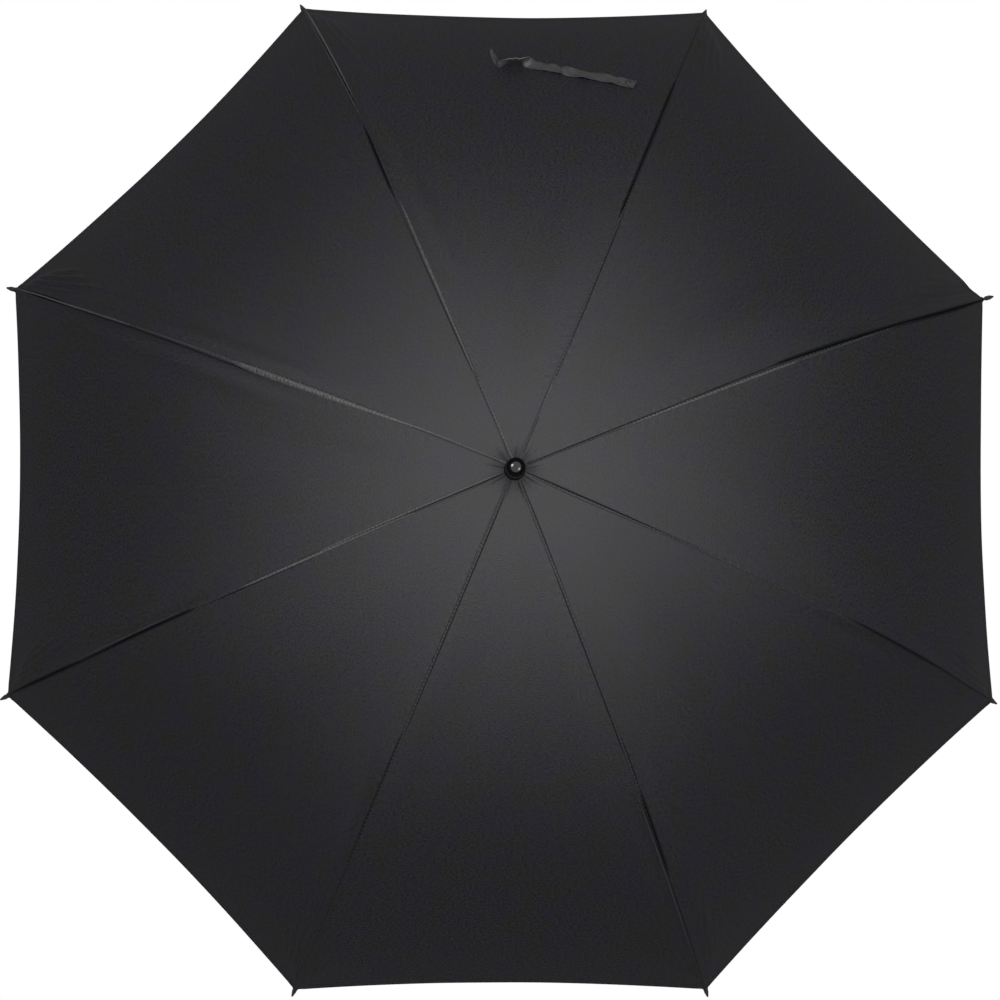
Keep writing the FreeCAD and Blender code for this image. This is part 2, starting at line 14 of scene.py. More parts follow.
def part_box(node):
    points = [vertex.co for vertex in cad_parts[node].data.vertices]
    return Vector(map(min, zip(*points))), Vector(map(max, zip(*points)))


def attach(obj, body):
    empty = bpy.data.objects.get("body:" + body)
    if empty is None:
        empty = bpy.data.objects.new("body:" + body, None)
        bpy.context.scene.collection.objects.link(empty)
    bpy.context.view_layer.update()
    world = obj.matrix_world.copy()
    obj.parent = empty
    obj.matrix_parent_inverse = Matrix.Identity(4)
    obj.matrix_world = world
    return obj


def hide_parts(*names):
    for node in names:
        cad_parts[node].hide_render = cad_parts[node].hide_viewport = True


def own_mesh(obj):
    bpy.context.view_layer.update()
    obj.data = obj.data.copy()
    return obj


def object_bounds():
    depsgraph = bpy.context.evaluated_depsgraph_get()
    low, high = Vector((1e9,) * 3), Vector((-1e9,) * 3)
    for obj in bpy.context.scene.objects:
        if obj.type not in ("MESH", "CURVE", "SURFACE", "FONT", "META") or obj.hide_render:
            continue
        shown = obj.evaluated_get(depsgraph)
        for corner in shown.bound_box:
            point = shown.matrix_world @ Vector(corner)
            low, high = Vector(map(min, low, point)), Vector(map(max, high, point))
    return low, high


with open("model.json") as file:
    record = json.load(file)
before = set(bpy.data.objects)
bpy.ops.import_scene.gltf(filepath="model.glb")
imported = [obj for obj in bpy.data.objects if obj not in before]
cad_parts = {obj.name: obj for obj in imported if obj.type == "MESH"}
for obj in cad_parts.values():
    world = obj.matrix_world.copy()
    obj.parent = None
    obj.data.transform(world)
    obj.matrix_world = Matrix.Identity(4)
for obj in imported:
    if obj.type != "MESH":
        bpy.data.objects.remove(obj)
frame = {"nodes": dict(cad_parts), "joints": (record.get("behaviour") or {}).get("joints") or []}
CAD_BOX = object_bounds()

MM = 0.001
JOINTS = {joint["name"]: joint for joint in frame["joints"]}


def pivot(joint):
    """A rib joint's pivot as its distance from the shaft and its height."""
    x, y, z = JOINTS[joint]["pos_m"]
    return math.hypot(x, y) / MM, z / MM


# frame layout
RIB_COUNT = 8
RIB_STEP = 2 * math.pi / RIB_COUNT
HALF_STEP = RIB_STEP / 2
FIRST_RIB = math.atan2(*JOINTS["open_close"]["pos_m"][1::-1])
CROWN = pivot("open_close")
STRETCHER_PIVOT = pivot("rib_1_flex")
PIN_DROP = 6.0
JOINT_SLOPE = math.radians(28.0)
OUTER_CHORD = 377.0
OUTER_CHORD_SLOPE = math.radians(41.0)
TIP_CAP_LENGTH = 24.0
TIP_CAP_R = 2.7

# canopy
CLOTH = 0.35
CLOTH_LIFT = 3.45            # middle of the cloth above the rib's centre line
CLOTH_HOLE_R = 8.0
CLOTH_TOP_Z = 886.45
STRAIGHT_R = 70.0            # inside this radius the cloth runs straight up to the crown
CORNER_R = 640.0
# how far each panel's hem bows inwards, and how far each rib's corner stands out
HEM_BOW = {1: 14.5, 2: 11.0, 3: 15.5, 4: 14.0, 5: 9.0, 6: 9.0, 7: 8.0, 8: 15.0}
CORNER_SHIFT = {1: -10.5, 2: 2.5, 3: 0.5, 4: -3.5, 5: -1.5, 6: 0.5, 7: -0.5, 8: 1.5}
SAG = 0.0085                 # sag between the ribs, for each millimetre from the shaft
HEM_TAUTNESS = 0.8           # share of the sag that the taut hem takes out
HEM_WIDTH = 8.0
HEM_FOLD_R = 0.7
UNDERLAP = 12.0              # outer panel under the inner one, at the stretcher joint
COLUMNS = 72
COLUMN_SPREAD = 1.35         # above 1, the grid is finer beside the rib
ROW_PITCH = 4.5
ACROSS = math.sin(HALF_STEP) * math.cos(HALF_STEP)
INWARDS = math.sin(HALF_STEP) ** 2


class Arc:
    """A circular stretch of rib in the plane (x, z), from one point to another."""

    def __init__(self, start, end, start_slope=None, end_slope=None):
        chord = math.hypot(end[0] - start[0], end[1] - start[1])
        self.chord_slope = math.atan2(start[1] - end[1], end[0] - start[0])
        if start_slope is None:
            start_slope = 2 * self.chord_slope - end_slope
        self.start, self.end = start, end
        self.end_slope = 2 * self.chord_slope - start_slope
        self.radius = chord / (2 * math.sin((self.end_slope - start_slope) / 2))
        self.x = start[0] - self.radius * math.sin(start_slope)
        self.z = start[1] - self.radius * math.cos(start_slope)
        self.sagitta = self.radius * (1 - math.cos((self.end_slope - start_slope) / 2))

    def height(self, x, lift):
        return self.z + np.sqrt(np.maximum((self.radius + lift) ** 2 - (x - self.x) ** 2, 0))

    def slope(self, x):
        return np.arcsin(np.clip((x - self.x) / self.radius, -1, 1))


RIB_AT_JOINT = (
    STRETCHER_PIVOT[0] + PIN_DROP * math.sin(JOINT_SLOPE),
    STRETCHER_PIVOT[1] + PIN_DROP * math.cos(JOINT_SLOPE),
)
TIP = (
    STRETCHER_PIVOT[0] + OUTER_CHORD * math.cos(OUTER_CHORD_SLOPE),
    STRETCHER_PIVOT[1] - OUTER_CHORD * math.sin(OUTER_CHORD_SLOPE),
)
INNER = Arc(CROWN, RIB_AT_JOINT, end_slope=JOINT_SLOPE)
OUTER = Arc(RIB_AT_JOINT, TIP, start_slope=JOINT_SLOPE)
ARCS = {"inner": INNER, "outer": OUTER}
SPLIT_R = RIB_AT_JOINT[0] + CLOTH_LIFT * math.sin(JOINT_SLOPE)


def smooth(value, low, high):
    """0 below low, 1 above high, with an easy curve between them."""
    share = np.clip((value - low) / (high - low), 0, 1)
    return share * share * (3 - 2 * share)


def bell(value, width):
    """1 at 0, and close to 0 two widths away."""
    return np.exp(-((value / width) ** 2))


def rib_turn(rib):
    """A rib's direction, counter-clockwise from X."""
    return FIRST_RIB + RIB_STEP * (rib - 1)


def turn_matrix(rib):
    c, s = math.cos(rib_turn(rib)), math.sin(rib_turn(rib))
    return np.array([[c, s, 0], [-s, c, 0], [0, 0, 1]])


def turned(points, rib):
    """Points of a rib's own frame, as an array, turned to that rib's place."""
    return points @ turn_matrix(rib)


def unturned(points, rib):
    """Points of the umbrella's frame, as an array, in a rib's own frame."""
    return points @ turn_matrix(rib).T


def unit(vectors):
    """The vectors of an array's last axis, made 1 long."""
    return vectors / np.linalg.norm(vectors, axis=-1, keepdims=True)


def directions(slope):
    """Along a rib and straight out of it, in the rib's own frame."""
    c, s = math.cos(slope), math.sin(slope)
    return np.array([c, 0, -s]), np.array([s, 0, c])


def panel_beside(rib, side):
    """The panel on one side of a rib: 1 is the counter-clockwise side, and -1 the clockwise one."""
    return rib if side > 0 else (rib - 2) % RIB_COUNT + 1


def side_name(side):
    return "left" if side > 0 else "right"


def rib_body(rib, part):
    return f"rib_{rib}" if part == "inner" else f"rib_end_{rib}"


# ---- the cloth's surface

def cloth_height(rho):
    """The middle of the cloth over a rib, at a distance from the shaft."""
    edge = INNER.height(STRAIGHT_R, CLOTH_LIFT)
    straight = CLOTH_TOP_Z + (rho - CLOTH_HOLE_R) / (STRAIGHT_R - CLOTH_HOLE_R) * (edge - CLOTH_TOP_Z)
    arcs = np.where(rho < SPLIT_R, INNER.height(rho, CLOTH_LIFT), OUTER.height(rho, CLOTH_LIFT))
    return np.where(rho < STRAIGHT_R, straight, arcs)


def cloth_slope(rho):
    """How steeply it falls outwards there."""
    arcs = np.where(rho < SPLIT_R, INNER.slope(rho), OUTER.slope(rho))
    return np.where(rho < STRAIGHT_R, INNER.slope(np.full_like(rho, STRAIGHT_R)), arcs)


FOLD_RISE = 0.35             # share of a fold's length over which it rises from its inner end
FOLD_END = 14.0              # over which it dies out at its outer end
FOLD_WIDENING = 0.4          # towards its inner end


class Fold:
    """A long soft ridge or groove of the cloth beside a rib, between two distances from the shaft.

    offset is its distance from the rib at its outer end, fan how fast it drifts away further in.
    """

    def __init__(self, offset, width, height, inner, outer, fan=0.0):
        self.offset, self.width, self.height = offset, width, height
        self.inner, self.outer, self.fan = inner, outer, fan

    def lift(self, rho, across):
        middle = self.offset + self.fan * (self.outer - rho)
        length = self.outer - self.inner
        ends = smooth(rho, self.inner, self.inner + FOLD_RISE * length)
        ends *= 1 - smooth(rho, self.outer - FOLD_END, self.outer)
        widening = 1 + FOLD_WIDENING * np.clip((self.outer - rho) / length, 0, 1)
        return self.height * ends * bell(across - middle, self.width * widening)


def pull_creases(strength, start=7.0):
    """Four narrow creases that fan out from a corner, where the sewn tip pulls on the cloth."""
    return [
        Fold(start, 1.7, 1.1 * strength, 552, 634, 0.09),
        Fold(start + 6, 2.0, 1.5 * strength, 535, 630, 0.17),
        Fold(start + 13, 2.4, 1.2 * strength, 560, 626, 0.26),
        Fold(start + 21, 2.9, 0.9 * strength, 580, 620, 0.36),
    ]


# the folds beside each rib, on its clockwise side (-1) and on its other side (1)
FOLDS = {
    (1, -1): pull_creases(0.3),
    (1, 1): pull_creases(0.9, 9.0) + [Fold(16, 9, -3.0, 390, 636)],
    (2, -1): pull_creases(2.2) + [Fold(9, 5, -1.6, 400, 600)],
    (2, 1): pull_creases(0.3) + [Fold(8, 6, 1.4, 330, 560)],
    (3, -1): pull_creases(1.0) + [Fold(9, 6, -2.0, 380, 520), Fold(26, 9, 1.2, 200, 620)],
    (3, 1): pull_creases(0.6, 5.0),
    (4, -1): pull_creases(3.2, 9.0) + [Fold(14, 7, 1.5, 180, 600)],
    (4, 1): pull_creases(0.6) + [Fold(10, 6, -1.4, 200, 560), Fold(24, 8, 1.2, 250, 620)],
    (5, -1): pull_creases(1.6, 9.0) + [Fold(12, 7, -2.2, 330, 600)],
    (5, 1): pull_creases(0.2),
    (6, -1): pull_creases(1.1, 5.0) + [Fold(14, 8, -2.6, 340, 560)],
    (6, 1): pull_creases(0.8),
    (7, -1): pull_creases(0.8) + [Fold(10, 7, -2.4, 370, 620)],
    (7, 1): pull_creases(0.7, 9.0) + [Fold(22, 9, 1.2, 330, 620)],
    (8, -1): pull_creases(0.5) + [Fold(10, 6, -1.4, 360, 600)],
    (8, 1): pull_creases(0.8, 5.0) + [Fold(20, 10, -1.6, 300, 600)],
}

# a panel's broad waves: cycles across it, cycles along it and height
WAVES = ((0.6, 0.7, 0.975), (1.1, 0.4, 0.715), (0.8, 1.6, 0.455), (2.2, 0.6, 0.2275))
FLUTTER = ((3, 0.15), (5, 0.12), (9, 0.05))   # half waves along a hem, and height
FLUTTER_SEED = 100
GATHER_LOBES = 26            # round the crown, with a looser set between them
LOOSE_LOBES = 17
GATHER_HEIGHT = 0.3
PUCKER_PITCH = 12.0          # of the seam's pull on the cloth beside it
PUCKER_HEIGHT = 0.35
PUCKER_OFFSET = 5.5
PUCKER_WIDTH = 3.2
SEAM_BED = 2.2               # half width over which the seam holds the cloth flat


def panel_waves(panel, rho, q):
    """Broad shallow unevenness of one panel; q runs from -1 to 1 between its two ribs."""
    rng = np.random.default_rng(panel)
    total = np.zeros(np.broadcast(rho, q).shape)
    for cycles_across, cycles_along, height in WAVES:
        turn, phase, sway = rng.uniform(-0.3, 0.3), rng.uniform(0, 2 * math.pi), rng.uniform(0.7, 1.2)
        wave = cycles_across * q * sway + (cycles_along + turn) * rho / CORNER_R
        total += height * np.cos(2 * math.pi * wave + phase)
    return total * (1 - q * q) * smooth(rho, 60, 420) * (1 - 0.9 * smooth(rho, 500, 620))


def hem_flutter(panel, rho, q):
    """The free hem's slow wave between two corners."""
    rng = np.random.default_rng(FLUTTER_SEED + panel)
    wave = sum(
        height * np.sin(math.pi * count * (q + 1) / 2 + rng.uniform(0, 2 * math.pi))
        for count, height in FLUTTER
    )
    return wave * (1 - q * q) * smooth(rho, CORNER_R - 70, CORNER_R - 10)


def crown_gathers(azimuth, rho):
    """Short radiating gathers where the cloth is drawn in under the ferrule."""
    lobes = np.cos(GATHER_LOBES * azimuth + 0.6 * np.sin(5 * azimuth))
    lobes = lobes + 0.5 * np.cos(LOOSE_LOBES * azimuth + 1.0)
    return GATHER_HEIGHT * lobes * smooth(rho, 9, 15) * (1 - smooth(rho, 20, 44))


def hem_radius(rib, side, t):
    """Where the hem is, measured as the rib is; it bows inwards between two corners."""
    nearness = (1 - t) ** 2
    return CORNER_R + CORNER_SHIFT[rib] * nearness - HEM_BOW[panel_beside(rib, side)] * (1 - nearness)


def cloth_points(rib, side, rho, t, extra=0.0):
    """Cloth in a rib's own frame: t is 0 on the rib and 1 in the middle of the panel beside it."""
    panel = panel_beside(rib, side)
    across = ACROSS * rho * t
    q = -side * (1 - t)
    lift = extra - SAG * rho * (1 - q * q) * (1 - HEM_TAUTNESS * smooth(rho, 480, CORNER_R))
    lift = lift + panel_waves(panel, rho, q) + hem_flutter(panel, rho, q)
    beside = sum(fold.lift(rho, across) for fold in FOLDS[rib, side])
    phase = 2 * math.pi * (rho / PUCKER_PITCH + 0.37 * rib + 0.21 * side)
    pucker = PUCKER_HEIGHT * np.sin(phase + 0.9 * np.sin(rho / 41)) * smooth(rho, 60, 120)
    pucker = pucker * bell(across - PUCKER_OFFSET, PUCKER_WIDTH)
    lift = lift + (beside + pucker) * (1 - bell(across, SEAM_BED)) * (1 - smooth(t, 0.7, 1.0))
    azimuth = rib_turn(rib) + side * np.arctan2(across, rho * (1 - INWARDS * t))
    lift = lift + crown_gathers(azimuth, rho)
    slope, heading = cloth_slope(rho), side * HALF_STEP * t
    return np.stack([
        rho * (1 - INWARDS * t) + lift * np.sin(slope) * np.cos(heading),
        side * across + lift * np.sin(slope) * np.sin(heading),
        cloth_height(rho) + lift * np.cos(slope),
    ], axis=-1)


# ---- meshes

def in_scene(thing):
    """A new object, once the scene has it."""
    bpy.context.scene.collection.objects.link(thing)
    return thing


def add(name, mesh, body, material, node=None):
    """Makes a piece that rides on a body; node is the frame's node that it stands for, if any."""
    mesh.materials.append(material)
    piece = in_scene(bpy.data.objects.new(name, mesh))
    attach(piece, body)
    if node:
        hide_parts(node)
    return piece


def mesh_of(name, points, faces, creases=None, uv=None):
    """A smooth mesh from points in millimetres; creases marks the vertices whose shared edges are sharp."""
    mesh = bpy.data.meshes.new(name)
    mesh.from_pydata((np.asarray(points) * MM).tolist(), [], [list(map(int, face)) for face in faces])
    mesh.polygons.foreach_set("use_smooth", [True] * len(mesh.polygons))
    if creases is not None:
        ends = np.empty(2 * len(mesh.edges), int)
        mesh.edges.foreach_get("vertices", ends)
        first, second = creases[ends[::2]], creases[ends[1::2]]
        sharp = mesh.attributes.new("sharp_edge", "BOOLEAN", "EDGE")
        sharp.data.foreach_set("value", (first > 0) & (first == second))
    if uv is not None:
        corner = np.empty(len(mesh.loops), int)
        mesh.loops.foreach_get("vertex_index", corner)
        layer = mesh.uv_layers.new(name="threads")
        layer.data.foreach_set("uv", (np.asarray(uv)[corner] * MM).ravel())
    mesh.update()
    return mesh


def grid_faces(rows, cols, flip):
    """The quads of a grid of points; flip turns them over."""
    index = np.arange(rows * cols).reshape(rows, cols)
    quads = np.stack([index[:-1, :-1], index[1:, :-1], index[1:, 1:], index[:-1, 1:]], -1).reshape(-1, 4)
    return quads[:, ::-1] if flip else quads


def border(rows, cols):
    """The vertices round a grid, in the order in which its faces use them."""
    index = np.arange(rows * cols).reshape(rows, cols)
    return np.concatenate([index[:-1, 0], index[-1, :-1], index[:0:-1, -1], index[0, :0:-1]])


def sheet_mesh(name, points, uv, thickness, flip=False):
    """A closed sheet: a grid of middle points made thick both ways, with sharp edges round its border."""
    rows, cols = points.shape[:2]
    out = unit(np.cross(np.gradient(points, axis=0), np.gradient(points, axis=1)))
    out *= (-1 if flip else 1) * thickness / 2
    both = np.concatenate([points + out, points - out])
    count = rows * cols
    top = grid_faces(rows, cols, flip)
    loop = border(rows, cols)
    ahead = np.roll(loop, -1)
    rim = np.stack([ahead, loop, loop + count, ahead + count], -1)
    faces = np.concatenate([top, top[:, ::-1] + count, rim[:, ::-1] if flip else rim])
    creases = np.zeros(2 * count, int)
    creases[loop] = 1
    creases[loop + count] = 2
    flat_uv = np.concatenate([uv.reshape(-1, 2)] * 2)
    return mesh_of(name, both.reshape(-1, 3), faces, creases, flat_uv)


def tube_faces(rings, sides):
    """The faces between closed rings of points, and one across each end."""
    index = np.arange(rings * sides).reshape(rings, sides)
    after = np.roll(index, -1, axis=1)
    around = np.stack([index[:-1], after[:-1], after[1:], index[1:]], -1).reshape(-1, 4)
    return around.tolist() + [index[0, ::-1].tolist(), index[-1].tolist()]


def lathe_mesh(name, profile, segments):
    """A surface of revolution about Z from (radius, height) points listed from the bottom to the top."""
    angles = np.linspace(0, 2 * math.pi, segments, endpoint=False)
    radii, levels = np.asarray(profile, float).T
    x, y = np.outer(radii, np.cos(angles)), np.outer(radii, np.sin(angles))
    points = np.stack([x, y, np.outer(levels, np.ones(segments))], -1)
    return mesh_of(name, points.reshape(-1, 3), tube_faces(len(profile), segments))


def tube_mesh(name, path, radius, axis, sides=8):
    """A round tube along a path; axis is any direction that the path never follows."""
    along = unit(np.gradient(path, axis=0))
    first = unit(axis - (along @ axis)[:, None] * along)
    second = np.cross(along, first)
    angles = np.linspace(0, 2 * math.pi, sides, endpoint=False)
    rings = np.cos(angles)[None, :, None] * first[:, None] + np.sin(angles)[None, :, None] * second[:, None]
    points = (path[:, None] + radius * rings).reshape(-1, 3)
    return mesh_of(name, points, tube_faces(len(path), sides))


def joined(name, meshes):
    """One mesh from several, all in the same place."""
    points, faces = [], []
    for mesh in meshes:
        start = len(points)
        points.extend(tuple(vertex.co / MM) for vertex in mesh.vertices)
        faces.extend([corner + start for corner in polygon.vertices] for polygon in mesh.polygons)
        bpy.data.meshes.remove(mesh)
    return mesh_of(name, points, faces)


def rounded(corners, radius, steps=5):
    """An outline of (radius, height) corners with each inner corner rounded off."""
    outline = [corners[0]]
    for before, corner, after in zip(*(map(Vector, corners[k:]) for k in range(3))):
        back, ahead = before - corner, after - corner
        reach = min(radius, back.length * 0.45, ahead.length * 0.45)
        start, end = corner + back.normalized() * reach, corner + ahead.normalized() * reach
        for share in np.arange(steps + 1) / steps:
            outline.append(tuple(start.lerp(corner, share).lerp(corner.lerp(end, share), share)))
    outline.append(corners[-1])
    return outline


# ---- canopy panels

STEPS = (np.arange(COLUMNS + 1) / COLUMNS) ** COLUMN_SPREAD
HEM_STITCH_INSET = 6.5
HEM_ROWS = (14, 12, 10, 9, 8, 7.2, 6.5, 5.8, 5, 3.8, 2.6, 1.3)
HEM_FOLD_ROWS = 7            # round the folded edge
HEM_BACK = (0.5, 1.0)        # rows of the hem's turned-in layer, as shares of its width
HEM_SWELL = 0.15             # of the doubled cloth over the single
HEM_LIFT = 0.1
STITCH_DIP = 0.3             # where the hem's stitches pull it down
STITCH_DIP_WIDTH = 1.1
FLAP_DROP = 0.8
FLAP_WIDTHS = (0.15, 0.12)   # share of the underlap kept at the rib, and of the panel where it opens
GATHER_R = 50.0              # inside this radius the rows are close, for the gathers
GATHER_PITCH = 2.0


def inner_grid():
    """Distance from the shaft and extra lift of an inner panel's rows, at each column."""
    rows = np.concatenate([
        np.arange(CLOTH_HOLE_R, GATHER_R, GATHER_PITCH),
        np.linspace(GATHER_R, SPLIT_R, round((SPLIT_R - GATHER_R) / ROW_PITCH)),
    ])
    rho = np.repeat(rows[:, None], COLUMNS + 1, axis=1)
    return rho, np.zeros_like(rho)


def outer_grid(hem):
    """An outer panel's rows: a flap under the inner panel, the panel itself, and its folded hem."""
    opening = FLAP_WIDTHS[0] + (1 - FLAP_WIDTHS[0]) * smooth(STEPS, 0, FLAP_WIDTHS[1])
    rows = [
        (SPLIT_R - UNDERLAP * share * opening, -FLAP_DROP * share * opening) for share in (1, 2 / 3, 1 / 3)
    ]
    for share in np.linspace(0, 1, round((CORNER_R - SPLIT_R) / ROW_PITCH)):
        rows.append((SPLIT_R + share * (hem - HEM_ROWS[0] - 2 - SPLIT_R), 0))
    for inset in HEM_ROWS:
        dip = STITCH_DIP * bell(inset - HEM_STITCH_INSET, STITCH_DIP_WIDTH)
        rows.append((hem - inset, HEM_SWELL * (1 - smooth(inset, 6, 10)) - dip))
    for angle in np.linspace(0, math.pi, HEM_FOLD_ROWS):
        out, down = 1 - math.sin(angle), 1 - math.cos(angle)
        rows.append((hem - HEM_FOLD_R * out, HEM_LIFT - HEM_FOLD_R * down))
    rows += [(hem - share * HEM_WIDTH, HEM_LIFT - 2 * HEM_FOLD_R) for share in HEM_BACK]
    return [np.stack([np.broadcast_to(row, STEPS.shape) for row in column]) for column in zip(*rows)]


def fold_up(piece):
    """Gives a piece of cloth a mesh of its own."""
    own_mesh(piece)


def darken_hem(mesh, rows, cols):
    """Paints shade on the fold at the hem: gives it the panel's second material, a dark cloth, on both faces
    of the cloth.
    """
    last = rows - len(HEM_BACK) - 2
    for start in (0, rows - 1):
        first = start + last - HEM_FOLD_ROWS + 1
        for face in mesh.polygons[first * (cols - 1):(start + last) * (cols - 1)]:
            face.material_index = 1


def panel(rib, side, part, cloth, edge):
    """Half a panel beside its rib, from the crown to the stretcher joint or from there to the hem."""
    rho, lift = inner_grid() if part == "inner" else outer_grid(hem_radius(rib, side, STEPS))
    t = np.broadcast_to(STEPS, rho.shape)
    points = turned(cloth_points(rib, side, rho, t, lift), rib)
    uv = np.stack([-side * (1 - t) * ACROSS * rho, rho], axis=-1)
    node = f"canopy_{part}_{rib}"
    name = f"{node}_{side_name(side)}"
    mesh = sheet_mesh(name, points, uv, CLOTH, side < 0)
    piece = add(name, mesh, rib_body(rib, part), cloth, node=node)
    if part == "outer":
        # the second material is the darkest cloth, painted shade on the hem's fold
        mesh.materials.append(edge)
        darken_hem(mesh, *rho.shape)
    fold_up(piece)


# ---- seams and stitches

SEAM_RISE = 0.5              # of the seam over the cloth
# heights over the cloth of the painted-highlight bands, the strips of deep painted shade and the softer
# painted shade
HIGHLIGHT_RISE = 0.85
DEEP_SHADE_RISE = 0.95
SHADE_RISE = 0.6
FULL_HALF = 0.8              # a narrower band is lower in proportion
BROAD_HALF = 0.85            # a strip of deep painted shade with a wider half has a soft edge of lighter painted shade
SHADE_MARGIN = 1.4           # that this soft painted-shade edge stands out on each side
TWIST_PITCH = 4.8            # of the slant ridges that the stitching pulls into a seam
TWIST_RISE = {"seam": 0.5, "faint_highlight": 0.5, "highlight": 0.45}
SEAM_INSETS = (4.0, 0.5)     # from the hole in the crown and from the corner
BAND_EASE = np.linspace(-9, 9, 7)
BAND_STEP = 1.1
BAND_SHARES = np.array([-1, -0.85, -0.5, 0, 0.5, 0.85, 1])
SEAM_ROWS = (-0.7, 0.7)      # of stitches, as shares of the seam's half width
STITCHES_INSET = 12.0        # from the hole in the crown and from the corner
STITCH_PITCH = 3.2
STITCH_LENGTH = 2.3
STITCH_R = 0.22


class Band:
    """A narrow strip of a seam, given at stations: distance from the shaft, middle and half width.

    Its look is "seam" for the folded seam cloth itself.  The other looks are painted light laid over the
    cloth: two lighter ones are painted highlights where light catches the seam's folds, the darkest is
    painted shade in the gap beside a fold, and "shade" is softer painted shade, for a shallow or soft-edged
    gap.  The middle is measured across the rib, positive on the counter-clockwise side.
    """

    def __init__(self, look, *stations):
        self.look = look
        self.rho, self.middle, self.half = np.array(stations, float).T

    def eased(self, rho, values):
        """Values at the stations, with the bends between them rounded off."""
        return np.mean([np.interp(rho + shift, self.rho, values) for shift in BAND_EASE], axis=0)

    def across(self, rho, share):
        """Distance across the rib at a share of the half width, from -1 to 1."""
        return self.eased(rho, self.middle) + share * np.maximum(self.eased(rho, self.half), 0.05)

    def height(self, rho, share):
        """Height over the cloth."""
        fullness = np.clip(self.eased(rho, self.half) / FULL_HALF, 0, 1)
        if self.look in ("slot", "shade"):
            return (DEEP_SHADE_RISE if self.look == "slot" else SHADE_RISE) * fullness * (1 - share ** 4)
        rise = SEAM_RISE if self.look == "seam" else HIGHLIGHT_RISE
        twist = TWIST_RISE[self.look] * (1 - share ** 2)
        twist = twist * np.sin(2 * math.pi * rho / TWIST_PITCH + 2.2 * share)
        return fullness * (rise * (1 - abs(share) ** 3) + twist)


def with_shade(bands):
    """A seam's bands with a wider band of soft-edged painted shade added under each broad strip of deep
    painted shade.
    """
    shades = []
    for band in bands:
        if band.look == "slot" and band.half.max() > BROAD_HALF:
            margin = SHADE_MARGIN * np.clip(band.half / FULL_HALF, 0, 1)
            shades.append(Band("shade", *zip(band.rho, band.middle, band.half + margin)))
    return bands + shades
